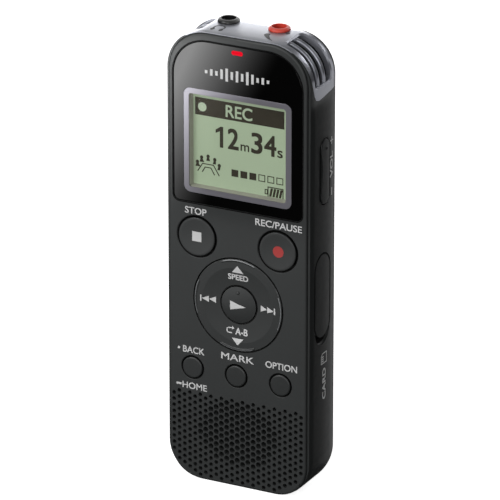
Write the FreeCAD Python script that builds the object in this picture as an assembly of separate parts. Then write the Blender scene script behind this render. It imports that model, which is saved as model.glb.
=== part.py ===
import FreeCAD, Part
import math
import os
from FreeCAD import Vector

# Pocket digital voice recorder, standing upright. Millimetres.
# +Z is up, the display and keys face -Y, and the origin is the middle of the base.
# "depth" is measured from the front face towards the back, so Y = depth - CASE_DEPTH / 2.

# ---- overall case ----
CASE_WIDTH = 38.3
CASE_HEIGHT = 114.1
CASE_DEPTH = 19.3
CASE_TOP_CORNER = 10.2
CASE_BOTTOM_CORNER = 9.6
REAR_ROUND = 8.5
WALL = 1.5
LIP_DEPTH = 0.6
SHOULDER_MID_DEPTH = 1.4
SHOULDER_DEPTH = 2.4
SEAM_DEPTH = 13.0
SEAM_GAP = 0.1
HALF_WIDTH = CASE_WIDTH / 2

# ---- front panel and window ----
PANEL_HALF_WIDTH = 18.22
PANEL_INSET = 0.25
PANEL_THICKNESS = 1.8
PANEL_TOP_CORNER = 9.6
PANEL_BOTTOM_CORNER = 7.9
PANEL_EDGE_ROUND = 0.55
FIT_GAP = 0.05
WINDOW_HALF_WIDTH = 16.9
WINDOW_BOTTOM = 71.35
WINDOW_TOP = 111.85
WINDOW_TOP_CORNER = 8.8
WINDOW_BOTTOM_CORNER = 1.5
WINDOW_POCKET_DEPTH = 1.2
WINDOW_FACE_DEPTH = 0.1
WINDOW_GAP = 0.14
BEZEL_LEFT, BEZEL_RIGHT = -14.29, 14.16
BEZEL_BOTTOM, BEZEL_TOP = 73.73, 99.91
BEZEL_CORNER = 1.8
GLASS_LEFT, GLASS_RIGHT = -12.89, 12.65
GLASS_BOTTOM, GLASS_TOP = 75.12, 98.57
GLASS_CORNER = 0.7
LENS_DEPTHS = (0.3, 0.7)
LCD_DEPTHS = (1.85, 3.05)
BACKLIGHT_DEPTHS = (3.1, 3.9)
LED_CENTRE = (-0.1, 110.32)
LED_LENGTH = 3.0
LED_HEIGHT = 1.1

# ---- keys ----
KEY_TRAVEL = 0.4
KEY_GAP = 0.2
KEY_PROUD = 0.2
KEY_FLANGE_DEPTHS = (1.85, 2.35)
KEY_FLANGE_LIP = 0.6
BIG_KEY_HOLE = 5.02
SMALL_KEY_HOLE = 2.87
STOP_AT = (-10.83, 62.72)
RECORD_AT = (10.66, 62.76)
PAD_AT = (0.15, 47.23)
BACK_AT = (-12.12, 28.95)
MARK_AT = (-0.4, 28.92)
OPTION_AT = (11.4, 28.8)
PAD_HOLE = 11.86
PAD_GAP = 0.18
PAD_BORE = 4.8
PAD_BACK_DEPTH = 2.0
PAD_RIDGE_RADIUS = 11.25
PLAY_RADIUS = 4.55
GIMBAL_DEPTHS = (2.25, 2.6)
GIMBAL_RADII = (5.1, 6.3)
BIG_KEY_CHAMFER = 0.45
SMALL_KEY_CHAMFER = 0.28
PAD_CHAMFER = 0.1

# ---- loudspeaker grille ----
GRILLE_LEFT = -17.17
GRILLE_COLUMNS = 25
GRILLE_COLUMN_PITCH = 1.422
GRILLE_ROW_PITCH = 1.611
GRILLE_TOP_EVEN = 21.57
GRILLE_TOP_ODD = 22.35
GRILLE_SMALL_RADIUS = 0.38
GRILLE_BIG_RADIUS = 0.54
GRILLE_EDGE = 0.95
GRILLE_BIG_AREA = (0.0, 13.8, 10.3, 8.3)
SPEAKER_AT = (0.0, 13.8)
SPEAKER_RADIUS = 10.4

# ---- circuit board and the stack behind the keys ----
SHEET_DEPTHS = (3.0, 3.4)
DOME_DEPTHS = (3.95, 4.2)
BOARD_DEPTHS = (4.2, 5.0)

# ---- top trim, microphones, jacks ----
MIC_CORNER_X = HALF_WIDTH - CASE_TOP_CORNER
MIC_CORNER_Z = CASE_HEIGHT - CASE_TOP_CORNER
MIC_SLOTS = ((2.6, 4.75), (5.75, 7.9), (8.9, 11.0))
MIC_SLOT_ANGLES = (13.0, 91.0)
MIC_RIB_DROP = 0.45
MIC_FLOOR = 8.0
MIC_ROUND = 1.1
MIC_BEVEL = 0.35
MIC_RIB_RADIUS = 0.6
MESH_RADII = (8.05, 8.5)
MIC_DEPTH = 8.0
MIC_RADIUS = 2.1
JACK_DEPTH = 9.95
JACK_BORE = 1.8
HEADPHONE_X = -7.4
MICROPHONE_X = 5.95
COLLAR_RADIUS = 2.65
COLLAR_TOP = CASE_HEIGHT + 0.9
JACK_FLOOR = 100.4
JACK_BARREL_RADIUS = 3.0

# ---- right side: volume rocker and card cover ----
ROCKER_DEPTHS = (5.2, 9.9)
ROCKER_Z = (73.5, 90.3)
ROCKER_GAP = 0.22
ROCKER_PIN_X = 16.6
ROCKER_PROUD = 0.2
WAIST_RADIUS = 17.0
COVER_DEPTHS = (2.9, 10.3)
COVER_Z = (40.4, 61.2)
COVER_THICKNESS = 0.86
COVER_GAP = 0.16
COVER_BEAD = 0.1

# ---- left side: hold and power switch ----
HOLD_DEPTH = 7.4
HOLD_Z = 84.0
HOLD_TRAVEL = 2.0

# ---- rear: battery bay, lid and plug slider ----
LID_HALF_WIDTH = 12.0
LID_BOTTOM, LID_TOP = 43.3, 98.6
LID_THICKNESS = 1.05
LID_GAP = 0.15
LID_PIN_AT = (18.2, 44.6)
LID_PIN_RADIUS = 0.4
LID_BARREL = 0.85
CELL_RADIUS = 5.2
CELL_DEPTH = 12.85
CELL_X = 5.5
CELL_LENGTH = 43.3
CELL_NUB = 1.2
BAY_Z = (46.5, 96.9)
TRAY_Z = (45.8, 97.7)
PLUG_CENTRE_DEPTH = 12.6
PLUG_SIZE = (12.0, 4.5)
PLUG_WALL = 0.35
PLUG_Z = (1.6, 20.0)
PLUG_TRAVEL = 15.0
CARRIAGE_TOP = 36.0
SLIDER_Z = (28.5, 37.5)
SCREWS_AT = ((-14.3, 98.0), (14.3, 98.0), (-12.6, 36.0), (12.6, 36.0))
SCREW_SEAT_DEPTH = 16.4

os.makedirs("parts", exist_ok=True)


def across(depth):
    """Y of a point at this depth behind the front face."""
    return depth - CASE_DEPTH / 2


def save(name, shape):
    """Write one sub-part, as closed solids only."""
    solids = shape.Solids
    result = solids[0] if len(solids) == 1 else Part.makeCompound(solids)
    result.exportStep("parts/" + name + ".step")
    print(name, len(solids), round(result.Volume, 2))


def block(x_range, depth_range, z_range):
    corner = Vector(x_range[0], across(depth_range[0]), z_range[0])
    return Part.makeBox(
        x_range[1] - x_range[0],
        depth_range[1] - depth_range[0],
        z_range[1] - z_range[0],
        corner,
    )


def disc(centre, radius, depth_range):
    base = Vector(centre[0], across(depth_range[0]), centre[1])
    return Part.makeCylinder(radius, depth_range[1] - depth_range[0], base, Vector(0, 1, 0))


def post(x, depth, radius, z_range):
    base = Vector(x, across(depth), z_range[0])
    return Part.makeCylinder(radius, z_range[1] - z_range[0], base, Vector(0, 0, 1))


def cross_bar(depth, z, radius, x_range):
    base = Vector(x_range[0], across(depth), z)
    return Part.makeCylinder(radius, x_range[1] - x_range[0], base, Vector(1, 0, 0))


def depth_bar(x, z, radius, depth_range):
    return disc((x, z), radius, depth_range)


def merge(shapes):
    return shapes[0].multiFuse(shapes[1:]) if len(shapes) > 1 else shapes[0]


def corner_arc(centre_x, centre_z, radius, start, depth):
    """Quarter turn of an outline corner, from angle start to start + 90 degrees."""
    points = []
    for step in (0, 45, 90):
        angle = math.radians(start + step)
        points.append(
            Vector(centre_x + radius * math.cos(angle), across(depth), centre_z + radius * math.sin(angle))
        )
    return Part.Arc(points[0], points[1], points[2]).toShape()


def outline(left, right, bottom, top, bottom_corner, top_corner, depth):
    """Closed rounded rectangle facing the front, at one depth."""
    corners = (
        corner_arc(right - top_corner, top - top_corner, top_corner, 0, depth),
        corner_arc(left + top_corner, top - top_corner, top_corner, 90, depth),
        corner_arc(left + bottom_corner, bottom + bottom_corner, bottom_corner, 180, depth),
        corner_arc(right - bottom_corner, bottom + bottom_corner, bottom_corner, 270, depth),
    )
    edges = []
    for index, arc in enumerate(corners):
        following = corners[(index + 1) % 4]
        edges.append(arc)
        edges.append(Part.makeLine(arc.Vertexes[-1].Point, following.Vertexes[0].Point))
    return Part.Wire(Part.__sortEdges__(edges))


def plate(left, right, bottom, top, bottom_corner, top_corner, depth_range):
    wire = outline(left, right, bottom, top, bottom_corner, top_corner, depth_range[0])
    return Part.Face(wire).extrude(Vector(0, depth_range[1] - depth_range[0], 0))


def side_slot(depth_range, z_range, radius, x_range):
    """Rounded bar through the side wall, long in Z, with this end radius."""
    points = (
        (depth_range[0], z_range[0] + radius),
        (depth_range[0], z_range[1] - radius),
        (depth_range[1], z_range[1] - radius),
        (depth_range[1], z_range[0] + radius),
    )
    corners = [Vector(x_range[0], across(depth), z) for depth, z in points]
    middle = (across(depth_range[0]) + across(depth_range[1])) / 2
    half = (depth_range[1] - depth_range[0]) / 2
    if abs(half - radius) > 0.001:
        body = block(x_range, depth_range, z_range)
        edges = [edge for edge in body.Edges if abs(edge.Vertexes[0].X - edge.Vertexes[-1].X) > 0.01]
        return body.makeFillet(radius, edges)
    edges = (
        Part.makeLine(corners[0], corners[1]),
        Part.Arc(corners[1], Vector(x_range[0], middle, z_range[1]), corners[2]).toShape(),
        Part.makeLine(corners[2], corners[3]),
        Part.Arc(corners[3], Vector(x_range[0], middle, z_range[0]), corners[0]).toShape(),
    )
    return Part.Face(Part.Wire(edges)).extrude(Vector(x_range[1] - x_range[0], 0, 0))


def side_prism(points, half_length):
    """Polygon given as (depth, z) pairs, stretched from -half_length to +half_length in X."""
    corners = [Vector(-half_length, across(depth), z) for depth, z in points]
    face = Part.Face(Part.makePolygon(corners + corners[:1]))
    return face.extrude(Vector(2 * half_length, 0, 0))


def edges_at_depth(shape, depth):
    limit = across(depth)
    return [
        edge
        for edge in shape.Edges
        if abs(edge.BoundBox.YMin - limit) < 0.01 and abs(edge.BoundBox.YMax - limit) < 0.01
    ]


# ---------------------------------------------------------------- case shells
def outer_form():
    """Whole outside of the case: a shallow bowed shoulder in front, a deep round behind."""
    lip = outline(-18.8, 18.8, 0.06, CASE_HEIGHT - 0.06, 9.0, 9.9, LIP_DEPTH)
    bow = outline(-19.05, 19.05, 0.02, CASE_HEIGHT - 0.02, 9.4, 10.1, SHOULDER_MID_DEPTH)
    full = outline(
        -HALF_WIDTH, HALF_WIDTH, 0, CASE_HEIGHT, CASE_BOTTOM_CORNER, CASE_TOP_CORNER, SHOULDER_DEPTH
    )
    shoulder = Part.makeLoft([lip, bow, full], True, False)
    rear = Part.Face(full).extrude(Vector(0, CASE_DEPTH - SHOULDER_DEPTH, 0))
    rear = rear.makeFillet(REAR_ROUND, edges_at_depth(rear, CASE_DEPTH))
    return rear.fuse(shoulder)


def inner_form():
    """Hollow inside the walls, open at the front."""
    room = plate(
        -HALF_WIDTH + WALL, HALF_WIDTH - WALL, WALL, CASE_HEIGHT - WALL,
        CASE_BOTTOM_CORNER - WALL, CASE_TOP_CORNER - WALL, (0, CASE_DEPTH - WALL),
    )
    return room.makeFillet(REAR_ROUND - WALL, edges_at_depth(room, CASE_DEPTH - WALL))


def trim_region(gap):
    """Side view of the bright top trim: a long band that ends in a tongue on each side."""
    points = [
        (LIP_DEPTH - 1, CASE_HEIGHT + 5),
        (LIP_DEPTH - 1, 113.0 - gap),
        (LIP_DEPTH, 112.6 - gap),
        (1.0 - gap, 108.5),
        (1.35 - gap, 104.8),
        (2.0 - gap, 102.3 - gap),
        (2.9 - gap, 100.9 - gap),
        (4.1, 100.45 - gap),
        (5.6, 100.5 - gap),
        (SEAM_DEPTH + gap, 101.5 - gap),
        (SEAM_DEPTH + gap, CASE_HEIGHT + 5),
    ]
    return side_prism(points, HALF_WIDTH + 5)


OUTER = outer_form()
INNER = inner_form()
PANEL_POCKET = plate(
    -PANEL_HALF_WIDTH - FIT_GAP, PANEL_HALF_WIDTH + FIT_GAP,
    PANEL_INSET - FIT_GAP, CASE_HEIGHT - PANEL_INSET + FIT_GAP,
    PANEL_BOTTOM_CORNER, PANEL_TOP_CORNER, (-1, PANEL_THICKNESS),
)
SHELL = OUTER.cut(INNER).cut(PANEL_POCKET)
EVERYWHERE_X = (-30, 30)
EVERYWHERE_Z = (-5, 130)
FRONT_REGION = block(EVERYWHERE_X, (-2, SEAM_DEPTH), EVERYWHERE_Z)
REAR_REGION = block(EVERYWHERE_X, (SEAM_DEPTH + SEAM_GAP, 30), EVERYWHERE_Z)


def plug_exit():
    return plate(
        -PLUG_SIZE[0] / 2 - 0.15, PLUG_SIZE[0] / 2 + 0.15, -1, 6, 0.1, 0.1,
        (PLUG_CENTRE_DEPTH - PLUG_SIZE[1] / 2 - 0.15, PLUG_CENTRE_DEPTH + PLUG_SIZE[1] / 2 + 0.15),
    )


def screw_posts():
    posts = []
    for x, z in SCREWS_AT:
        wall_x = math.copysign(HALF_WIDTH - 0.5, x)
        posts.append(disc((x, z), 1.9, (8.0, SEAM_DEPTH)))
        posts.append(block(sorted((x, wall_x)), (8.0, 11.5), (z - 0.6, z + 0.6)))
    return posts


def case_body():
    body = SHELL.common(FRONT_REGION).cut(trim_region(SEAM_GAP))
    body = body.fuse(screw_posts())
    ears = []
    for depths in ((3.6, ROCKER_DEPTHS[0] - 0.4), (ROCKER_DEPTHS[1] + 0.4, 11.6)):
        ears.append(block((ROCKER_PIN_X - 1.0, HALF_WIDTH - WALL + 0.2), depths, (80.6, 83.6)))
    body = body.fuse(ears)
    cutters = [disc((x, z), 0.62, (8.6, SEAM_DEPTH + 1)) for x, z in SCREWS_AT]
    cutters.append(
        side_slot(ROCKER_DEPTHS, ROCKER_Z, 2.35, (HALF_WIDTH - WALL - 0.5, HALF_WIDTH + 2))
    )
    cutters.append(depth_bar(ROCKER_PIN_X, 82.0, 0.5, (3.9, 11.3)))
    cutters.append(cover_pocket())
    cutters.append(block((HALF_WIDTH - WALL - 1, HALF_WIDTH), (5.35, 6.5), (45.0, 57.0)))
    cutters.append(finger_scoop())
    cutters.append(side_slot((HOLD_DEPTH - 2.0, HOLD_DEPTH + 2.0), (76.6, 91.4), 2.0,
                             (-HALF_WIDTH - 1, -HALF_WIDTH + 0.7)))
    cutters.append(block((-HALF_WIDTH - 1, -HALF_WIDTH + WALL + 1),
                         (HOLD_DEPTH - 0.8, HOLD_DEPTH + 0.8), (80.4, 87.6)))
    cutters.append(plug_exit())
    for cutter in cutters:
        body = body.cut(cutter)
    return body


def cover_pocket():
    """Seat of the card cover, following the cover's outline with a small gap."""
    return side_slot(
        (COVER_DEPTHS[0] - COVER_GAP, COVER_DEPTHS[1] + COVER_GAP),
        (COVER_Z[0] - COVER_GAP, COVER_Z[1] + COVER_GAP),
        (COVER_DEPTHS[1] - COVER_DEPTHS[0]) / 2 + COVER_GAP,
        (HALF_WIDTH - COVER_THICKNESS - 0.12, HALF_WIDTH + 2),
    )


def finger_scoop():
    """Finger-nail hollow just under the card cover."""
    radius = (COVER_DEPTHS[1] - COVER_DEPTHS[0]) / 2
    bowl = side_slot(COVER_DEPTHS, (COVER_Z[0] - 2.0, 50.0), radius, (HALF_WIDTH - 0.8, HALF_WIDTH + 2))
    floor = [edge for edge in bowl.Edges if abs(edge.BoundBox.XMax - HALF_WIDTH + 0.8) < 0.01]
    return bowl.makeFillet(0.7, floor)


def top_trim():
    trim = SHELL.common(FRONT_REGION).common(trim_region(0))
    cutters = [
        post(HEADPHONE_X, JACK_DEPTH, COLLAR_RADIUS, (100, 120)),
        post(MICROPHONE_X, JACK_DEPTH, COLLAR_RADIUS, (100, 120)),
    ]
    for side in (-1, 1):
        cutters.extend(mic_slot_cutters(side))
        cutters.append(mic_opening(side, CASE_TOP_CORNER - MIC_RIB_DROP - 0.3, 0))
        cutters.append(mic_bevel(side))
    for cutter in cutters:
        trim = trim.cut(cutter)
    ribs = []
    for side in (-1, 1):
        ribs.extend(mic_ribs(side))
    return trim.fuse(ribs)


def corner_sector(side, radii, angles, depth_range):
    """Ring sector about the top corner's centre. Angles run from straight up, outwards."""
    centre = Vector(side * MIC_CORNER_X, across(depth_range[0]), MIC_CORNER_Z)
    points = []
    for radius, order in ((radii[0], angles), (radii[1], angles[::-1])):
        for angle in (order[0], sum(angles) / 2, order[1]):
            turn = math.radians(angle)
            points.append(centre + Vector(side * radius * math.sin(turn), 0, radius * math.cos(turn)))
    edges = (
        Part.Arc(points[0], points[1], points[2]).toShape(),
        Part.makeLine(points[2], points[3]),
        Part.Arc(points[3], points[4], points[5]).toShape(),
        Part.makeLine(points[5], points[0]),
    )
    return Part.Face(Part.Wire(edges)).extrude(Vector(0, depth_range[1] - depth_range[0], 0))


def mic_opening(side, radius, grow):
    """Basin with round corners over the three slots, open outwards from a radius."""
    turn = math.degrees(grow / CASE_TOP_CORNER)
    angles = (MIC_SLOT_ANGLES[0] - turn, MIC_SLOT_ANGLES[1] + turn)
    basin = corner_sector(side, (radius, 13.0), angles, (MIC_SLOTS[0][0] - grow, MIC_SLOTS[-1][1] + grow))
    corners = [edge for edge in basin.Edges
               if edge.Curve.TypeId == "Part::GeomLine" and edge.BoundBox.YLength < 0.01]
    return basin.makeFillet(MIC_ROUND + grow, corners)


def mic_slot_cutters(side):
    opening = mic_opening(side, MIC_FLOOR, 0)
    return [opening.common(block(EVERYWHERE_X, depths, EVERYWHERE_Z)) for depths in MIC_SLOTS]


def mic_bevel(side):
    """Sloping rim of the basin."""
    radius = CASE_TOP_CORNER - MIC_BEVEL
    opening = mic_opening(side, radius, MIC_BEVEL)
    floor = min((face for face in opening.Faces if face.Surface.TypeId == "Part::GeomCylinder"
                 and abs(face.Surface.Axis.y) > 0.99), key=lambda face: face.Surface.Radius
                if face.Surface.Radius > MIC_FLOOR else CASE_WIDTH)
    return opening.makeChamfer(MIC_BEVEL * 0.95, floor.Edges)


def mic_ribs(side):
    """Round bars between the slots, bent round the corner."""
    ribs = []
    for first, second in zip(MIC_SLOTS, MIC_SLOTS[1:]):
        depth = (first[1] + second[0]) / 2
        radius = CASE_TOP_CORNER - MIC_RIB_DROP - MIC_RIB_RADIUS
        start = math.radians(MIC_SLOT_ANGLES[0] - 2)
        centre = Vector(side * MIC_CORNER_X, across(depth), MIC_CORNER_Z)
        ring = Part.makeTorus(radius, MIC_RIB_RADIUS, centre, Vector(0, 1, 0))
        ribs.append(ring.common(corner_sector(side, (7.0, 12.0), (math.degrees(start), 93.0),
                                              (depth - 1, depth + 1))))
    return ribs


def back_cover():
    cover = SHELL.common(REAR_REGION)
    opening = block((-LID_HALF_WIDTH - LID_GAP, LID_HALF_WIDTH + LID_GAP), (15.0, 25.0),
                    (LID_BOTTOM, LID_TOP + LID_GAP))
    cover = cover.cut(opening)
    ears = []
    for side in (-1, 1):
        x_range = sorted((side * (LID_HALF_WIDTH + LID_GAP), side * 13.6))
        ears.append(block(x_range, (16.6, 18.75), (43.6, 45.6)).common(OUTER))
    cover = cover.fuse(ears)
    cutters = [
        cross_bar(LID_PIN_AT[0], LID_PIN_AT[1], LID_PIN_RADIUS, (-13.3, 13.3)),
        plate(-4.0, 4.0, 12.8, 39.2, 2.0, 2.0, (CASE_DEPTH - 0.7, CASE_DEPTH + 2)),
        plate(-1.7, 1.7, 16.6, 36.8, 1.0, 1.0, (15, CASE_DEPTH + 2)),
        plug_exit(),
    ]
    for x, z in SCREWS_AT:
        cutters.append(disc((x, z), 1.0, (SEAM_DEPTH, CASE_DEPTH + 1)))
        cutters.append(disc((x, z), 1.6, (SCREW_SEAT_DEPTH, CASE_DEPTH + 1)))
    for cutter in cutters:
        cover = cover.cut(cutter)
    posts = []
    for x, z in SCREWS_AT:
        sleeve = disc((x, z), 2.1, (SEAM_DEPTH + SEAM_GAP, 18.6)).common(OUTER)
        sleeve = sleeve.cut(disc((x, z), 1.0, (SEAM_DEPTH, 19)))
        posts.append(sleeve.cut(disc((x, z), 1.6, (SCREW_SEAT_DEPTH, 20))))
    return cover.fuse(posts)


def battery_lid():
    leaf = block((-LID_HALF_WIDTH, LID_HALF_WIDTH), (CASE_DEPTH - LID_THICKNESS, 25.0),
                 (LID_PIN_AT[1], LID_TOP))
    barrel = cross_bar(LID_PIN_AT[0], LID_PIN_AT[1], LID_BARREL, (-LID_HALF_WIDTH, LID_HALF_WIDTH))
    lid = OUTER.common(leaf).fuse(barrel).removeSplitter()
    lid = lid.cut(cross_bar(LID_PIN_AT[0], LID_PIN_AT[1], LID_PIN_RADIUS + 0.05, (-15, 15)))
    thumb = []
    for row in range(5):
        z = 92.6 + 0.9 * row
        half = 4.6 - 0.35 * abs(row - 2)
        thumb.append(cross_bar(CASE_DEPTH + 0.1, z, 0.32, (-half, half)))
    for groove in thumb:
        lid = lid.cut(groove)
    return lid


# ---------------------------------------------------------------- front panel
def grille_holes():
    """Staggered sound holes, larger over the loudspeaker, kept inside the panel's corners."""
    holes = []
    area_x, area_z, reach_x, reach_z = GRILLE_BIG_AREA
    for column in range(GRILLE_COLUMNS):
        x = GRILLE_LEFT + column * GRILLE_COLUMN_PITCH
        first = GRILLE_TOP_ODD if column % 2 else GRILLE_TOP_EVEN
        row = 0
        while first - row * GRILLE_ROW_PITCH > PANEL_INSET + GRILLE_EDGE:
            z = first - row * GRILLE_ROW_PITCH
            row += 1
            inward_x = abs(x) - (PANEL_HALF_WIDTH - PANEL_BOTTOM_CORNER)
            inward_z = (PANEL_INSET + PANEL_BOTTOM_CORNER) - z
            if inward_x > 0 and inward_z > 0:
                if math.hypot(inward_x, inward_z) > PANEL_BOTTOM_CORNER - GRILLE_EDGE:
                    continue
            spread = ((x - area_x) / reach_x) ** 2 + ((z - area_z) / reach_z) ** 2
            radius = GRILLE_BIG_RADIUS if spread < 1 else GRILLE_SMALL_RADIUS
            holes.append(disc((x, z), radius, (-1, PANEL_THICKNESS + 1)))
    return holes


def key_opening(centre, radius, chamfer):
    """Round opening with a chamfer at the front face."""
    hole = disc(centre, radius, (-1, PANEL_THICKNESS + 1))
    base = Vector(centre[0], across(0), centre[1])
    cone = Part.makeCone(radius + chamfer, radius, chamfer, base, Vector(0, 1, 0))
    return [hole, cone]


def front_panel():
    panel = plate(
        -PANEL_HALF_WIDTH, PANEL_HALF_WIDTH, PANEL_INSET, CASE_HEIGHT - PANEL_INSET,
        PANEL_BOTTOM_CORNER, PANEL_TOP_CORNER, (0, PANEL_THICKNESS),
    )
    panel = panel.makeFillet(PANEL_EDGE_ROUND, edges_at_depth(panel, 0))
    cutters = [
        plate(
            -WINDOW_HALF_WIDTH - WINDOW_GAP, WINDOW_HALF_WIDTH + WINDOW_GAP,
            WINDOW_BOTTOM - WINDOW_GAP, WINDOW_TOP + WINDOW_GAP,
            WINDOW_BOTTOM_CORNER + WINDOW_GAP, WINDOW_TOP_CORNER + WINDOW_GAP,
            (-1, WINDOW_POCKET_DEPTH),
        ),
        plate(GLASS_LEFT, GLASS_RIGHT, GLASS_BOTTOM, GLASS_TOP, GLASS_CORNER, GLASS_CORNER,
              (-1, PANEL_THICKNESS + 1)),
        led_pill(FIT_GAP, (-1, PANEL_THICKNESS + 1)),
    ]
    for centre in (STOP_AT, RECORD_AT):
        cutters.extend(key_opening(centre, BIG_KEY_HOLE, BIG_KEY_CHAMFER))
    for centre in (BACK_AT, MARK_AT, OPTION_AT):
        cutters.extend(key_opening(centre, SMALL_KEY_HOLE, SMALL_KEY_CHAMFER))
    cutters.extend(key_opening(PAD_AT, PAD_HOLE, PAD_CHAMFER))
    for cutter in cutters:
        panel = panel.cut(cutter)
    return panel.cut(Part.makeCompound(grille_holes()))


def led_pill(extra, depth_range):
    half_length = LED_LENGTH / 2 + extra
    half_height = LED_HEIGHT / 2 + extra
    return plate(
        LED_CENTRE[0] - half_length, LED_CENTRE[0] + half_length,
        LED_CENTRE[1] - half_height, LED_CENTRE[1] + half_height,
        half_height - 0.01, half_height - 0.01, depth_range,
    )


def display_window():
    window = plate(
        -WINDOW_HALF_WIDTH, WINDOW_HALF_WIDTH, WINDOW_BOTTOM, WINDOW_TOP,
        WINDOW_BOTTOM_CORNER, WINDOW_TOP_CORNER, (WINDOW_FACE_DEPTH, WINDOW_POCKET_DEPTH),
    )
    window = window.makeChamfer(0.12, edges_at_depth(window, WINDOW_FACE_DEPTH))
    window = window.cut(plate(
        BEZEL_LEFT, BEZEL_RIGHT, BEZEL_BOTTOM, BEZEL_TOP, BEZEL_CORNER, BEZEL_CORNER, (-1, 3),
    ))
    return window.cut(led_pill(0, (-1, 3)))


def display_bezel():
    ring = plate(
        BEZEL_LEFT, BEZEL_RIGHT, BEZEL_BOTTOM, BEZEL_TOP, BEZEL_CORNER, BEZEL_CORNER,
        (WINDOW_FACE_DEPTH - 0.04, WINDOW_POCKET_DEPTH),
    )
    ring = ring.makeChamfer(0.1, edges_at_depth(ring, WINDOW_FACE_DEPTH - 0.04))
    return ring.cut(plate(
        GLASS_LEFT, GLASS_RIGHT, GLASS_BOTTOM, GLASS_TOP, GLASS_CORNER, GLASS_CORNER, (-1, 3),
    ))


def display_lens():
    return plate(
        GLASS_LEFT, GLASS_RIGHT, GLASS_BOTTOM, GLASS_TOP, GLASS_CORNER, GLASS_CORNER, LENS_DEPTHS,
    )


# ---------------------------------------------------------------- keys
def key_cap(centre, hole_radius, edge_round):
    """Plain round key: domed edge, retaining flange behind the panel, short plunger."""
    radius = hole_radius - KEY_GAP
    cap = disc(centre, radius, (-KEY_PROUD, KEY_FLANGE_DEPTHS[0]))
    cap = cap.makeFillet(edge_round, edges_at_depth(cap, -KEY_PROUD))
    flange = disc(centre, hole_radius + KEY_FLANGE_LIP - KEY_GAP, KEY_FLANGE_DEPTHS)
    return cap.fuse(flange)


def dished_key(centre):
    cap = key_cap(centre, BIG_KEY_HOLE, 0.3)
    dish_radius = 30.0
    middle = Vector(centre[0], across(-KEY_PROUD - dish_radius + 0.3), centre[1])
    return cap.cut(Part.makeSphere(dish_radius, middle))


def pad_ring():
    """Four-way ring: shallow dish, raised thumb ridges near its rim, nubs behind."""
    outer = PAD_HOLE - PAD_GAP
    ring = disc(PAD_AT, outer, (-0.1, PAD_BACK_DEPTH))
    ring = ring.makeFillet(0.14, edges_at_depth(ring, -0.1))
    dish_radius = 60.0
    middle = Vector(PAD_AT[0], across(-0.1 - dish_radius + 0.75), PAD_AT[1])
    ring = ring.cut(Part.makeSphere(dish_radius, middle))
    additions = []
    for turn in (0, 90, 180, 270):
        additions.append(pad_ridge(turn))
        angle = math.radians(turn)
        nub = (PAD_AT[0] + 9.5 * math.cos(angle), PAD_AT[1] + 9.5 * math.sin(angle))
        additions.append(disc(nub, 0.9, (PAD_BACK_DEPTH - 0.1, 2.5)))
    ring = ring.fuse(additions)
    return ring.cut(disc(PAD_AT, PAD_BORE, (-2, 4)))


def pad_ridge(turn):
    """Low bar bent along the rim, ended square 23 degrees each side of its middle."""
    base = Vector(PAD_AT[0], across(0.18), PAD_AT[1])
    bar = Part.makeTorus(PAD_RIDGE_RADIUS, 0.42, base, Vector(0, 1, 0))
    wedge = [Vector(PAD_AT[0], across(-1), PAD_AT[1])]
    for offset in (-23, 23):
        angle = math.radians(turn + offset)
        wedge.append(wedge[0] + Vector(20 * math.cos(angle), 0, 20 * math.sin(angle)))
    sector = Part.Face(Part.makePolygon(wedge + wedge[:1])).extrude(Vector(0, 1.6, 0))
    return bar.common(sector)


def play_button():
    """Centre key with a slight dome and a raised locating dot."""
    cap = disc(PAD_AT, PLAY_RADIUS, (-0.25, 2.6))
    dome_radius = 19.0
    middle = Vector(PAD_AT[0], across(-0.25 + dome_radius), PAD_AT[1])
    cap = cap.common(Part.makeSphere(dome_radius, middle))
    dot = Part.makeSphere(0.42, Vector(PAD_AT[0], across(0.08), PAD_AT[1] + 3.1))
    return cap.fuse(dot)


def pad_gimbal():
    ring = disc(PAD_AT, GIMBAL_RADII[1], GIMBAL_DEPTHS)
    return ring.cut(disc(PAD_AT, GIMBAL_RADII[0], (0, 5)))


def keypad_sheet():
    sheet = block((-16.0, 16.0), SHEET_DEPTHS, (24.6, 69.0))
    nubs = []
    for centre in switch_places():
        nubs.append(disc(centre, 1.2, (SHEET_DEPTHS[1], DOME_DEPTHS[0] - 0.05)))
    return sheet.fuse(nubs)


def switch_places():
    places = [STOP_AT, RECORD_AT, BACK_AT, MARK_AT, OPTION_AT, PAD_AT]
    for turn in (0, 90, 180, 270):
        angle = math.radians(turn)
        places.append((PAD_AT[0] + 9.5 * math.cos(angle), PAD_AT[1] + 9.5 * math.sin(angle)))
    return places


# ---------------------------------------------------------------- loudspeaker
def speaker_frame():
    frame = disc(SPEAKER_AT, SPEAKER_RADIUS, (2.1, 5.4))
    frame = frame.cut(disc(SPEAKER_AT, SPEAKER_RADIUS - 0.9, (0, 4.9)))
    return frame.cut(disc(SPEAKER_AT, 4.6, (0, 8)))


def speaker_cone():
    base = Vector(SPEAKER_AT[0], across(2.3), SPEAKER_AT[1])
    outside = Part.makeCone(SPEAKER_RADIUS - 1.0, 3.0, 2.0, base, Vector(0, 1, 0))
    inside = Part.makeCone(SPEAKER_RADIUS - 1.3, 2.7, 2.0, base - Vector(0, 0.3, 0), Vector(0, 1, 0))
    return outside.cut(inside)


# ---------------------------------------------------------------- jacks and microphones
def jack_collar(x):
    """Ring that stands proud of the trim, with a rounded mouth."""
    ring = post(x, JACK_DEPTH, COLLAR_RADIUS, (112.0, COLLAR_TOP))
    top_edges = [edge for edge in ring.Edges if abs(edge.BoundBox.ZMin - COLLAR_TOP) < 0.01]
    ring = ring.makeFillet(0.7, top_edges)
    return ring.cut(post(x, JACK_DEPTH, JACK_BORE, (90, 130)))


def jack_body(x):
    body = block((x - 2.75, x + 2.75), (JACK_DEPTH - 3.1, JACK_DEPTH + 3.1), (JACK_FLOOR, 112.0))
    return body.cut(post(x, JACK_DEPTH, JACK_BORE, (JACK_FLOOR + 0.8, 130)))


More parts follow.
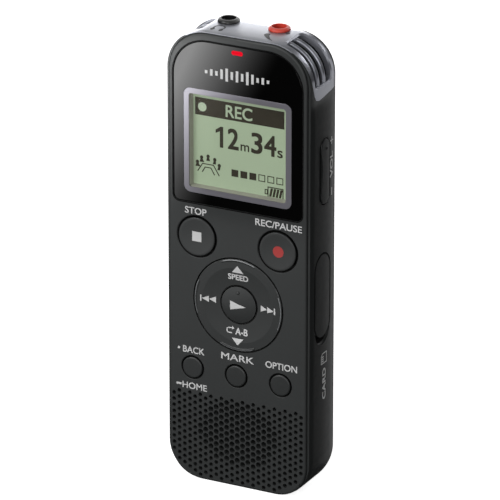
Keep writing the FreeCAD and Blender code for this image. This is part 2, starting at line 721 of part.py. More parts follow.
def jack_contacts():
    tags = []
    for x in (HEADPHONE_X, MICROPHONE_X):
        for z in (102.2, 105.6, 109.0):
            tags.append(block((x - 0.6, x + 0.6), (BOARD_DEPTHS[1], JACK_DEPTH - 3.1), (z, z + 0.8)))
    return Part.makeCompound(tags)


def radial_cylinder(side, radius, reach):
    """Cylinder about the 45 degree ray out of a top corner's centre."""
    centre = Vector(side * MIC_CORNER_X, across(MIC_DEPTH), MIC_CORNER_Z)
    ray = Vector(side * math.sqrt(0.5), 0, math.sqrt(0.5))
    return Part.makeCylinder(radius, reach[1] - reach[0], centre + ray * reach[0], ray)


def mic_mesh(side):
    sheet = corner_sector(side, MESH_RADII, (9.0, 95.0), (MIC_SLOTS[0][0] - 0.5, MIC_SLOTS[-1][1] + 0.5))
    return sheet.common(INNER)


def mic_capsule(side):
    return radial_cylinder(side, MIC_RADIUS, (5.1, 7.1))


def mic_boot(side):
    boot = radial_cylinder(side, MIC_RADIUS + 0.7, (4.7, 7.4))
    return boot.cut(radial_cylinder(side, MIC_RADIUS, (5.1, 9.0)))


# ---------------------------------------------------------------- right and left side controls
def volume_rocker():
    """Long rocker with a pinched waist, a plus nub and an inner web on its pivot."""
    depths = (ROCKER_DEPTHS[0] + ROCKER_GAP, ROCKER_DEPTHS[1] - ROCKER_GAP)
    heights = (ROCKER_Z[0] + ROCKER_GAP + 0.1, ROCKER_Z[1] - ROCKER_GAP - 0.1)
    cap = side_slot(depths, heights, (depths[1] - depths[0]) / 2,
                    (HALF_WIDTH - WALL, HALF_WIDTH + ROCKER_PROUD))
    rim = [edge for edge in cap.Edges if abs(edge.BoundBox.XMin - HALF_WIDTH - ROCKER_PROUD) < 0.01]
    cap = cap.makeFillet(0.24, rim)
    waist = Part.makeCylinder(
        WAIST_RADIUS, 3, Vector(HALF_WIDTH - 0.9, across(depths[0]) - WAIST_RADIUS + 0.8, 82.0),
        Vector(1, 0, 0),
    )
    cap = cap.cut(waist)
    nub = Part.makeSphere(0.45, Vector(HALF_WIDTH, across(8.2), 87.5))
    web = block((ROCKER_PIN_X - 1.0, HALF_WIDTH - WALL + 0.1), (ROCKER_DEPTHS[0] + 1.4, ROCKER_DEPTHS[1] - 0.4),
                (80.4, 83.6))
    rocker = cap.fuse([nub, web])
    return rocker.cut(depth_bar(ROCKER_PIN_X, 82.0, 0.55, (0, 15)))


def volume_switches():
    blocks = []
    for z in (77.0, 87.0):
        blocks.append(block((13.4, 15.9), (BOARD_DEPTHS[1], 9.6), (z - 1.4, z + 1.4)))
        blocks.append(cross_bar(8.0, z, 0.6, (15.9, 16.3)))
    return merge(blocks)


def card_cover():
    """Flap over the card slot. It turns about a thin bead along its outer top edge."""
    depths = COVER_DEPTHS
    radius = (depths[1] - depths[0]) / 2
    leaf = side_slot(depths, COVER_Z, radius, (HALF_WIDTH - COVER_THICKNESS, HALF_WIDTH))
    bead_z = COVER_Z[1] - COVER_BEAD
    below = block((HALF_WIDTH - 2, HALF_WIDTH + 1), depths, (30, bead_z))
    bead = depth_bar(HALF_WIDTH - COVER_BEAD, bead_z, COVER_BEAD, depths)
    return leaf.common(below.fuse(bead))


def hold_knob():
    depths = (HOLD_DEPTH - 1.75, HOLD_DEPTH + 1.75)
    knob = side_slot(depths, (HOLD_Z - 4.8, HOLD_Z + 4.8), 1.75, (-HALF_WIDTH - 0.45, -HALF_WIDTH + 0.6))
    grooves = []
    for row in range(-2, 3):
        grooves.append(depth_bar(-HALF_WIDTH - 0.55, HOLD_Z + 1.3 * row, 0.35, depths))
    for groove in grooves:
        knob = knob.cut(groove)
    stem = block((-HALF_WIDTH + 0.6, -15.9), (HOLD_DEPTH - 0.65, HOLD_DEPTH + 0.65),
                 (HOLD_Z - 1.4, HOLD_Z + 1.4))
    return knob.fuse(stem)


def hold_switch_body():
    body = block((-15.8, -12.4), (BOARD_DEPTHS[1], 9.4), (HOLD_Z - 4.6, HOLD_Z + 4.6))
    return body


# ---------------------------------------------------------------- board and parts on it
def main_board():
    board = block((-15.6, 15.6), BOARD_DEPTHS, (27.0, 112.0))
    corner_edges = [
        edge
        for edge in board.Edges
        if edge.BoundBox.ZMin > 111.9 and abs(edge.BoundBox.YLength - 0.8) < 0.01
    ]
    return board.makeChamfer(5.5, corner_edges)


def small_parts():
    """Low components in rows on the back of the board."""
    pieces = []
    for column in range(6):
        for row in range(3):
            x = -13.6 + 2.0 * column
            z = 60.0 + 2.6 * row
            pieces.append(block((x, x + 1.2), (BOARD_DEPTHS[1], 5.7), (z, z + 0.8)))
    pieces.append(block((4.0, 7.2), (BOARD_DEPTHS[1], 6.2), (62.0, 64.0)))
    return Part.makeCompound(pieces)


def card_socket():
    shell = block((2.6, 17.3), (BOARD_DEPTHS[1], 6.85), (44.2, 57.8))
    room = block((3.2, 18.0), (5.25, 6.55), (45.0, 57.0))
    return shell.cut(room)


def led_light():
    return led_pill(-0.01, (WINDOW_FACE_DEPTH - 0.02, BOARD_DEPTHS[0]))


def screw(x, z):
    top = SCREW_SEAT_DEPTH + 0.75
    head = disc((x, z), 1.35, (SCREW_SEAT_DEPTH, top))
    shank = disc((x, z), 0.6, (9.4, SCREW_SEAT_DEPTH))
    slot_one = block((x - 0.9, x + 0.9), (top - 0.35, top + 1), (z - 0.18, z + 0.18))
    slot_two = block((x - 0.18, x + 0.18), (top - 0.35, top + 1), (z - 0.9, z + 0.9))
    return head.fuse(shank).cut(slot_one).cut(slot_two)


# ---------------------------------------------------------------- battery bay
def battery_tray():
    tray = block((-11.8, 11.8), (7.0, 17.7), TRAY_Z)
    tray = tray.cut(block((-11.0, 11.0), (7.5, 20), BAY_Z))
    return tray.fuse(block((-0.2, 0.2), (7.4, 10.5), (BAY_Z[0] + 6, BAY_Z[1] - 6)))


def battery_cell(side):
    """One upright cell. The left one points up and the right one points down."""
    x = side * CELL_X
    if side < 0:
        can_z = (BAY_Z[1] - 0.5 - CELL_NUB - CELL_LENGTH, BAY_Z[1] - 0.5 - CELL_NUB)
        nub_z = (can_z[1], can_z[1] + CELL_NUB)
    else:
        can_z = (BAY_Z[0] + 0.5 + CELL_NUB, BAY_Z[0] + 0.5 + CELL_NUB + CELL_LENGTH)
        nub_z = (can_z[0] - CELL_NUB, can_z[0])
    can = post(x, CELL_DEPTH, CELL_RADIUS, can_z)
    can = can.makeFillet(0.5, [edge for edge in can.Edges if edge.Curve.TypeId == "Part::GeomCircle"])
    return can.fuse(post(x, CELL_DEPTH, 1.9, nub_z))


def battery_contacts():
    plates = []
    for side in (-1, 1):
        x_range = sorted((side * 1.2, side * 9.8))
        plates.append(block(x_range, (9.0, 16.6), (BAY_Z[0], BAY_Z[0] + 0.4)))
        plates.append(block(x_range, (9.0, 16.6), (BAY_Z[1] - 0.4, BAY_Z[1])))
    return Part.makeCompound(plates)


def battery_spring(side):
    """Open coil of square wire that pushes on the flat end of one cell."""
    height = BAY_Z[1] - BAY_Z[0] - 1.4 - CELL_LENGTH - CELL_NUB - 0.5
    foot = BAY_Z[0] + 0.7 if side < 0 else BAY_Z[1] - 0.7 - height
    helix = Part.makeHelix(height / 4, height, 2.6)
    corners = [Vector(2.6 + x, 0, z) for x, z in ((-0.22, -0.22), (0.22, -0.22), (0.22, 0.22), (-0.22, 0.22))]
    profile = Part.Wire(Part.makePolygon(corners + corners[:1]))
    coil = Part.Wire(helix).makePipeShell([profile], True, True)
    coil.translate(Vector(side * CELL_X, across(CELL_DEPTH), foot))
    return coil


# ---------------------------------------------------------------- sliding plug
def plug_range(inset):
    half = PLUG_SIZE[1] / 2 - inset
    return (PLUG_CENTRE_DEPTH - half, PLUG_CENTRE_DEPTH + half)


def usb_shell():
    half = PLUG_SIZE[0] / 2
    tube = block((-half, half), plug_range(0), PLUG_Z)
    long_edges = [edge for edge in tube.Edges if edge.BoundBox.ZLength > 15]
    tube = tube.makeFillet(0.4, long_edges)
    room = block((-half + PLUG_WALL, half - PLUG_WALL), plug_range(PLUG_WALL), (0, 30))
    tube = tube.cut(room)
    windows = []
    for x in (-2.9, 2.9):
        windows.append(block((x - 1.1, x + 1.1), (9, 17), (PLUG_Z[0] + 4.4, PLUG_Z[0] + 6.6)))
    for window in windows:
        tube = tube.cut(window)
    return tube


def usb_insulator():
    half = PLUG_SIZE[0] / 2 - PLUG_WALL - 0.02
    low, high = plug_range(PLUG_WALL + 0.02)
    tongue = block((-half, half), (high - 1.9, high), (PLUG_Z[0] + 0.6, PLUG_Z[1]))
    root = block((-half, half), (low, high), (PLUG_Z[1] - 4.0, PLUG_Z[1]))
    return tongue.fuse(root)


def usb_contacts():
    high = plug_range(PLUG_WALL + 0.02)[1]
    strips = []
    for x, length in ((-3.5, 8.6), (-1.25, 7.6), (1.25, 7.6), (3.5, 8.6)):
        top = PLUG_Z[1] - 4.0
        strips.append(block((x - 0.5, x + 0.5), (high - 2.05, high - 1.9), (top - length, top)))
    return Part.makeCompound(strips)


def usb_carriage():
    body = block((-7.0, 7.0), (9.85, 15.35), (PLUG_Z[1], CARRIAGE_TOP))
    stem = block((-1.5, 1.5), (15.35, CASE_DEPTH - 0.6), (32.0, CARRIAGE_TOP))
    return body.fuse(stem)


def usb_slider():
    """Ribbed thumb piece in the rear track that pushes the plug out."""
    knob = plate(-3.8, 3.8, SLIDER_Z[0], SLIDER_Z[1], 1.6, 1.6, (CASE_DEPTH - 0.6, CASE_DEPTH + 0.25))
    for row in range(5):
        z = (SLIDER_Z[0] + SLIDER_Z[1]) / 2 + (row - 2) * 1.4
        knob = knob.cut(cross_bar(CASE_DEPTH + 0.4, z, 0.45, (-2.8, 2.8)))
    return knob


def usb_guide():
    guide = block((-8.4, 8.4), (8.9, 17.8), (5.2, 37.6)).common(INNER)
    return guide.cut(block((-7.15, 7.15), (9.7, 20), (0, 45)))


# ---------------------------------------------------------------- write every node
save("front_panel", front_panel())
save("case_body", case_body())
save("back_cover", back_cover())
save("top_trim", top_trim())
save("display_window", display_window())
save("display_bezel", display_bezel())
save("display_lens", display_lens())
save("lcd_panel", block((-14.6, 14.3), LCD_DEPTHS, (73.4, 100.2)))
save("lcd_backlight", block((-14.3, 14.0), BACKLIGHT_DEPTHS, (73.6, 100.0)))
save("led_lens", led_light())
save("stop_button", dished_key(STOP_AT))
save("record_button", dished_key(RECORD_AT))
save("back_button", key_cap(BACK_AT, SMALL_KEY_HOLE, 0.38))
save("mark_button", key_cap(MARK_AT, SMALL_KEY_HOLE, 0.38))
save("option_button", key_cap(OPTION_AT, SMALL_KEY_HOLE, 0.38))
save("pad_ring", pad_ring())
save("play_button", play_button())
save("pad_gimbal", pad_gimbal())
save("keypad_sheet", keypad_sheet())
save("switch_domes", Part.makeCompound([disc(place, 1.9, DOME_DEPTHS) for place in switch_places()]))
save("speaker_cloth", disc(SPEAKER_AT, SPEAKER_RADIUS, (1.85, 2.05)))
save("speaker_frame", speaker_frame())
save("speaker_cone", speaker_cone())
save("speaker_magnet", disc(SPEAKER_AT, 4.6, (4.9, 7.4)))
save("headphone_jack_collar", jack_collar(HEADPHONE_X))
save("mic_jack_collar", jack_collar(MICROPHONE_X))
save("headphone_jack_body", jack_body(HEADPHONE_X))
save("mic_jack_body", jack_body(MICROPHONE_X))
save("jack_contacts", jack_contacts())
for side, word in ((-1, "left"), (1, "right")):
    save("mic_mesh_" + word, mic_mesh(side))
    save("mic_capsule_" + word, mic_capsule(side))
    save("mic_boot_" + word, mic_boot(side))
save("volume_rocker", volume_rocker())
save("volume_pin", depth_bar(ROCKER_PIN_X, 82.0, 0.5, (3.95, 11.25)))
save("volume_switches", volume_switches())
save("card_cover", card_cover())
save("card_socket", card_socket())
save("hold_knob", hold_knob())
save("hold_switch_body", hold_switch_body())
save("main_board", main_board())
save("processor_chip", block((-6.0, 2.0), (BOARD_DEPTHS[1], 6.0), (86.0, 94.0)))
save("memory_chip", block((-9.0, 1.0), (BOARD_DEPTHS[1], 6.1), (69.0, 80.0)))
save("small_parts", small_parts())
save("battery_lid", battery_lid())
save("battery_lid_pin", cross_bar(LID_PIN_AT[0], LID_PIN_AT[1], LID_PIN_RADIUS, (-13.25, 13.25)))
save("battery_tray", battery_tray())
save("battery_cell_left", battery_cell(-1))
save("battery_cell_right", battery_cell(1))
save("battery_contacts", battery_contacts())
save("battery_springs", Part.makeCompound([battery_spring(-1), battery_spring(1)]))
save("usb_shell", usb_shell())
save("usb_insulator", usb_insulator())
save("usb_contacts", usb_contacts())
save("usb_carriage", usb_carriage())
save("usb_slider", usb_slider())
save("usb_guide", usb_guide())
save("case_screws", Part.makeCompound([screw(x, z) for x, z in SCREWS_AT]))
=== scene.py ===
"""Looks of the pocket voice recorder: finishes, printed legends, display picture and studio."""

import logging
import math
from dataclasses import dataclass, field
from enum import Enum
from typing import ClassVar, Sequence

import bmesh
import bpy
from mathutils import Matrix, Vector
from mathutils.bvhtree import BVHTree


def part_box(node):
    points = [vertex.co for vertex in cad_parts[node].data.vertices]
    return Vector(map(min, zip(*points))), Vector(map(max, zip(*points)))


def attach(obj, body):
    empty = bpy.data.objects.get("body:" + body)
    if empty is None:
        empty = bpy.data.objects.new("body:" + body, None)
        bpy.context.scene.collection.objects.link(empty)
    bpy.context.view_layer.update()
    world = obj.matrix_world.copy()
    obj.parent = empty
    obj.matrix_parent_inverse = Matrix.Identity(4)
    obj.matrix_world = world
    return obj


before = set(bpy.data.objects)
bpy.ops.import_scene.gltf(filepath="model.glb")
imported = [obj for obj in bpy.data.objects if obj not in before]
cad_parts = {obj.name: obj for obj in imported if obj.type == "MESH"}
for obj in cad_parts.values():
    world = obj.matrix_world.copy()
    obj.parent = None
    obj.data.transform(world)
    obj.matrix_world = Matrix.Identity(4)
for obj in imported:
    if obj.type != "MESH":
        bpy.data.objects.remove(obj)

LOG = logging.getLogger("recorder")
MM = 0.001
Colour = tuple[float, float, float]
Point = tuple[float, float]


def srgb(code: str) -> Colour:
    """Turn a hex colour into linear light values.

    Args:
        code: Six hex digits, such as "c6c8d0".

    Returns:
        Linear red, green and blue.
    """
    channels = [int(code[i : i + 2], 16) / 255 for i in (0, 2, 4)]
    red, green, blue = (c / 12.92 if c <= 0.04045 else ((c + 0.055) / 1.055) ** 2.4 for c in channels)
    return red, green, blue


def make_piece(name: str, shape: bmesh.types.BMesh, material: bpy.types.Material) -> bpy.types.Object:
    """Turn a drawn shape into an object of one material, and free the drawing.

    Args:
        name: Name of the object and its mesh.
        shape: The drawn shape.
        material: What covers it.

    Returns:
        The new object, linked to the scene.
    """
    mesh = bpy.data.meshes.new(name)
    shape.to_mesh(mesh)
    shape.free()
    mesh.materials.append(material)
    piece = bpy.data.objects.new(name, mesh)
    bpy.context.scene.collection.objects.link(piece)
    return piece


# ------------------------------------------------------------------ shader groups
class GroupMaker:
    """Small helper that lays out the nodes of one shader group or material."""

    def __init__(self, tree: bpy.types.NodeTree) -> None:
        """Remember the tree that nodes are added to."""
        self.tree = tree

    def add(self, kind: str, **settings: object) -> bpy.types.Node:
        """Add a node and set its plain properties.

        Args:
            kind: Blender's node type name.
            settings: Property names and their values.

        Returns:
            The new node.
        """
        node = self.tree.nodes.new(kind)
        for name, value in settings.items():
            setattr(node, name, value)
        return node

    def wire(self, source: bpy.types.NodeSocket, target: bpy.types.NodeSocket) -> None:
        """Join an output socket to an input socket."""
        self.tree.links.new(source, target)

    def position(self) -> bpy.types.NodeSocket:
        """Add a node for the object's own coordinates and give its socket."""
        return self.add("ShaderNodeTexCoord").outputs["Object"]

    def math(self, operation: str, first: object, second: object = None) -> bpy.types.NodeSocket:
        """Add a math node whose inputs are sockets or numbers.

        Args:
            operation: Name of the math operation.
            first: First socket or number.
            second: Second socket or number, if the operation has one.

        Returns:
            The node's output socket.
        """
        node = self.add("ShaderNodeMath", operation=operation)
        for index, value in enumerate((first, second)):
            if isinstance(value, bpy.types.NodeSocket):
                self.wire(value, node.inputs[index])
            elif value is not None:
                node.inputs[index].default_value = value
        return node.outputs[0]

    def spread(self, value: bpy.types.NodeSocket, low: object, high: object,
               new_low: object, new_high: object) -> bpy.types.NodeSocket:
        """Map a value from one range to another, clamped.

        Args:
            value: Socket to map.
            low: Start of the old range, a socket or number.
            high: End of the old range, a socket or number.
            new_low: Start of the new range, a socket or number.
            new_high: End of the new range, a socket or number.

        Returns:
            The mapped value's socket.
        """
        node = self.add("ShaderNodeMapRange")
        self.wire(value, node.inputs[0])
        for index, limit in enumerate((low, high, new_low, new_high), start=1):
            if isinstance(limit, bpy.types.NodeSocket):
                self.wire(limit, node.inputs[index])
            else:
                node.inputs[index].default_value = limit
        return node.outputs[0]

    def noise(self, scale: object, detail: float, where: bpy.types.NodeSocket) -> bpy.types.NodeSocket:
        """Add a noise texture.

        Args:
            scale: Socket or number for the noise scale.
            detail: Octaves of detail.
            where: Coordinate socket.

        Returns:
            The noise factor's socket.
        """
        node = self.add("ShaderNodeTexNoise")
        node.inputs["Detail"].default_value = detail
        self.wire(where, node.inputs["Vector"])
        if isinstance(scale, bpy.types.NodeSocket):
            self.wire(scale, node.inputs["Scale"])
        else:
            node.inputs["Scale"].default_value = scale
        return node.outputs[0]

    def blend(self, factor: object, first: object, second: object) -> bpy.types.NodeSocket:
        """Mix two colours.

        Args:
            factor: Socket or number, 0 gives the first colour.
            first: Socket or colour.
            second: Socket or colour.

        Returns:
            The mixed colour's socket.
        """
        node = self.add("ShaderNodeMix", data_type="RGBA")
        for index, value in ((0, factor), (6, first), (7, second)):
            if isinstance(value, bpy.types.NodeSocket):
                self.wire(value, node.inputs[index])
            elif index == 0:
                node.inputs[index].default_value = value
            else:
                node.inputs[index].default_value = (*value, 1.0)
        return node.outputs[2]


class Effect(Enum):
    """Shared surface effects, each one a shader group."""

    GRAIN = "moulded_grain"
    WEAR = "edge_wear"
    DRIFT = "tone_drift"
    DUST = "settled_dust"
    CREVICE = "crevice_shade"
    GRID = "dot_grid"


class EffectShelf:
    """Builds each shared shader group once and places it in materials."""

    def __init__(self) -> None:
        """Build all groups."""
        self.groups = {
            Effect.GRAIN: self.grain(),
            Effect.WEAR: self.wear(),
            Effect.DRIFT: self.drift(),
            Effect.DUST: self.dust(),
            Effect.CREVICE: self.crevice(),
            Effect.GRID: self.grid(),
        }

    @staticmethod
    def start(effect: Effect, inputs: dict[str, float], outputs: Sequence[str]) -> tuple[
            GroupMaker, bpy.types.Node, bpy.types.Node]:
        """Open a new group with named float sockets.

        Args:
            effect: Which effect the group is for.
            inputs: Input names and default values.
            outputs: Output names.

        Returns:
            The maker, the group input node and the group output node.
        """
        tree = bpy.data.node_groups.new(effect.value, "ShaderNodeTree")
        for name, value in inputs.items():
            made = tree.interface.new_socket(name=name, in_out="INPUT", socket_type="NodeSocketFloat")
            made.default_value = value
        for name in outputs:
            tree.interface.new_socket(name=name, in_out="OUTPUT", socket_type="NodeSocketFloat")
        maker = GroupMaker(tree)
        return maker, maker.add("NodeGroupInput"), maker.add("NodeGroupOutput")

    def grain(self) -> bpy.types.NodeTree:
        """Fine moulded texture: a height and a roughness that follow the same grain.

        Returns:
            The finished group.
        """
        maker, given, out = self.start(
            Effect.GRAIN, {"Scale": 4000.0, "Roughness": 0.5, "Spread": 0.1}, ("Height", "Roughness"))
        place = maker.position()
        fine = maker.noise(given.outputs["Scale"], 3.0, place)
        coarse = maker.noise(maker.math("MULTIPLY", given.outputs["Scale"], 0.13), 2.0, place)
        height = maker.math("ADD", maker.math("MULTIPLY", fine, 0.75), maker.math("MULTIPLY", coarse, 0.25))
        maker.wire(height, out.inputs["Height"])
        swing = maker.math("MULTIPLY", maker.math("SUBTRACT", coarse, 0.5), given.outputs["Spread"])
        rough = maker.math("ADD", given.outputs["Roughness"], maker.math("MULTIPLY", swing, 2.0))
        maker.wire(rough, out.inputs["Roughness"])
        return maker.tree

    def wear(self) -> bpy.types.NodeTree:
        """Mask of sharp edges, broken up by noise, where a finish rubs bright; on the trim its light colour is
        a painted edge highlight.

        Returns:
            The finished group.
        """
        maker, given, out = self.start(Effect.WEAR, {"Radius": 0.0002, "Amount": 0.5}, ("Mask",))
        bevel = maker.add("ShaderNodeBevel", samples=4)
        maker.wire(given.outputs["Radius"], bevel.inputs["Radius"])
        flat = maker.add("ShaderNodeNewGeometry").outputs["True Normal"]
        dot = maker.add("ShaderNodeVectorMath", operation="DOT_PRODUCT")
        maker.wire(bevel.outputs[0], dot.inputs[0])
        maker.wire(flat, dot.inputs[1])
        edge = maker.spread(dot.outputs["Value"], 0.995, 0.86, 0.0, 1.0)
        place = maker.position()
        broken = maker.spread(maker.noise(1500.0, 4.0, place), 0.38, 0.62, 0.15, 1.0)
        maker.wire(
            maker.math("MULTIPLY", maker.math("MULTIPLY", edge, broken), given.outputs["Amount"]),
            out.inputs["Mask"])
        return maker.tree

    def drift(self) -> bpy.types.NodeTree:
        """Slow change of tone across a moulding.

        Returns:
            The finished group.
        """
        maker, given, out = self.start(Effect.DRIFT, {"Scale": 90.0, "Amount": 0.1}, ("Factor",))
        place = maker.position()
        cloud = maker.noise(given.outputs["Scale"], 4.0, place)
        swing = maker.math("MULTIPLY", maker.math("SUBTRACT", cloud, 0.5), given.outputs["Amount"])
        maker.wire(maker.math("ADD", swing, 0.5), out.inputs["Factor"])
        return maker.tree

    def dust(self) -> bpy.types.NodeTree:
        """Thin specks and film on faces that look upwards.

        Returns:
            The finished group.
        """
        maker, given, out = self.start(Effect.DUST, {"Amount": 0.05}, ("Mask",))
        normal = maker.add("ShaderNodeSeparateXYZ")
        maker.wire(maker.add("ShaderNodeNewGeometry").outputs["Normal"], normal.inputs[0])
        up = maker.spread(normal.outputs["Z"], 0.1, 1.0, 0.15, 1.0)
        place = maker.position()
        specks = maker.spread(maker.noise(2600.0, 2.0, place), 0.66, 0.74, 0.0, 1.0)
        film = maker.math("MULTIPLY", maker.noise(220.0, 4.0, place), 0.5)
        cover = maker.math("ADD", specks, film)
        maker.wire(maker.math("MULTIPLY", maker.math("MULTIPLY", cover, up), given.outputs["Amount"]),
                   out.inputs["Mask"])
        return maker.tree

    def crevice(self) -> bpy.types.NodeTree:
        """Mask of gaps and holes for painted shade, with some dirt, from ambient occlusion.

        Returns:
            The finished group.
        """
        maker, given, out = self.start(
            Effect.CREVICE, {"Reach": 0.0007, "Closed": 0.42, "Open": 0.8}, ("Mask",))
        shade = maker.add("ShaderNodeAmbientOcclusion", samples=6)
        maker.wire(given.outputs["Reach"], shade.inputs["Distance"])
        limits = given.outputs["Closed"], given.outputs["Open"]
        maker.wire(maker.spread(shade.outputs["AO"], *limits, 1.0, 0.0), out.inputs["Mask"])
        return maker.tree

    def grid(self) -> bpy.types.NodeTree:
        """Mask of the thin lines between small square cells, seen square-on from the front.

        Returns:
            The finished group.
        """
        maker, given, out = self.start(Effect.GRID, {"Pitch": 0.0002, "Line": 0.12}, ("Mask",))
        place = maker.add("ShaderNodeSeparateXYZ")
        maker.wire(maker.position(), place.inputs[0])
        lines = []
        for axis in ("X", "Z"):
            cell = maker.math("FRACT", maker.math("DIVIDE", place.outputs[axis], given.outputs["Pitch"]))
            lines.append(maker.math("LESS_THAN", cell, given.outputs["Line"]))
        maker.wire(maker.math("MAXIMUM", lines[0], lines[1]), out.inputs["Mask"])
        return maker.tree

    def place(self, maker: GroupMaker, effect: Effect, **values: float) -> bpy.types.Node:
        """Put a shared group into a material.

        Args:
            maker: Maker of the material's tree.
            effect: Which effect to place.
            values: Input values; underscores in names stand for spaces.

        Returns:
            The group node.
        """
        node = maker.add("ShaderNodeGroup", node_tree=self.groups[effect])
        for name, value in values.items():
            node.inputs[name.replace("_", " ").title()].default_value = value
        return node


# ------------------------------------------------------------------ finishes
@dataclass(frozen=True)
class Finish:
    """One finish of the recorder, from moulded plastic to plated metal."""

    name: str
    base: Colour
    # Edge colour: rubbed wear on most finishes, a painted highlight on the trim, and the line colour of the
    # display's cells
    wear_sheen_and_cell_colour: Colour
    roughness: float = 0.5
    spread: float = 0.08
    grain: float = 5200.0
    bump: float = 0.12
    drift: float = 0.25
    drift_scale: float = 90.0
    wear: float = 0.3
    wear_and_sheen_radius: float = 0.00018
    dust: float = 0.02
    metallic: float = 0.0
    coat: float = 0.0
    specular: float = 0.5
    glow: float = 0.0
    alpha: float = 1.0
    transmission: float = 0.0
    # crevice and crevice_reach: strength and reach of the painted shade, with some dirt, in gaps and holes
    crevice: float = 0.95
    crevice_reach: float = 0.0007
    cells: float = 0.0
    tones: ClassVar[Point] = (0.78, 1.22)
    tone_lift: ClassVar[float] = 0.002
    painted_shade_and_dirt: ClassVar[Colour] = (0.0005, 0.0005, 0.0005)
    dust_colour: ClassVar[Colour] = (0.45, 0.44, 0.42)
    bump_height: ClassVar[float] = 0.00004
    coat_roughness: ClassVar[float] = 0.04

    def material(self, shelf: EffectShelf) -> bpy.types.Material:
        """Make the finish's material, or find it where it is made already.

        Args:
            shelf: The shared shader groups.

        Returns:
            A node material.
        """
        made = bpy.data.materials.get(self.name)
        if made is not None:
            return made
        made = bpy.data.materials.new(self.name)
        made.use_nodes = True
        made.diffuse_color = (*self.base, 1.0)
        maker = GroupMaker(made.node_tree)
        shader = made.node_tree.nodes["Principled BSDF"]
        grain = shelf.place(maker, Effect.GRAIN, scale=self.grain, roughness=self.roughness,
                            spread=self.spread)
        drift = shelf.place(maker, Effect.DRIFT, scale=self.drift_scale, amount=self.drift)
        dark = tuple(c * self.tones[0] for c in self.base)
        light = tuple(min(1.0, c * self.tones[1] + self.tone_lift) for c in self.base)
        colour = maker.blend(drift.outputs["Factor"], dark, light)
        # Edge mask: rubbed wear, and on the trim a painted highlight.
        if self.wear > 0:
            wear = shelf.place(maker, Effect.WEAR, radius=self.wear_and_sheen_radius, amount=self.wear)
            colour = maker.blend(wear.outputs["Mask"], colour, self.wear_sheen_and_cell_colour)
        if self.cells > 0:
            cells = shelf.place(maker, Effect.GRID)
            gap = maker.math("MULTIPLY", cells.outputs["Mask"], self.cells)
            colour = maker.blend(gap, colour, self.wear_sheen_and_cell_colour)
        # Painted shade, with some dirt: the ambient-occlusion mask darkens gaps and holes towards near black.
        if self.crevice > 0:
            shade = shelf.place(maker, Effect.CREVICE, reach=self.crevice_reach)
            depth = maker.math("MULTIPLY", shade.outputs["Mask"], self.crevice)
            colour = maker.blend(depth, colour, self.painted_shade_and_dirt)
        if self.dust > 0:
            dust = shelf.place(maker, Effect.DUST, amount=self.dust)
            colour = maker.blend(dust.outputs["Mask"], colour, self.dust_colour)
        maker.wire(colour, shader.inputs["Base Color"])
        maker.wire(grain.outputs["Roughness"], shader.inputs["Roughness"])
        bump = maker.add("ShaderNodeBump")
        bump.inputs["Strength"].default_value = self.bump
        bump.inputs["Distance"].default_value = self.bump_height
        maker.wire(grain.outputs["Height"], bump.inputs["Height"])
        maker.wire(bump.outputs[0], shader.inputs["Normal"])
        shader.inputs["Metallic"].default_value = self.metallic
        shader.inputs["Coat Weight"].default_value = self.coat
        shader.inputs["Coat Roughness"].default_value = self.coat_roughness
        shader.inputs["Specular IOR Level"].default_value = self.specular
        shader.inputs["Alpha"].default_value = self.alpha
        shader.inputs["Transmission Weight"].default_value = self.transmission
        if self.glow > 0:
            maker.wire(colour, shader.inputs["Emission Color"])
            shader.inputs["Emission Strength"].default_value = self.glow
        return made


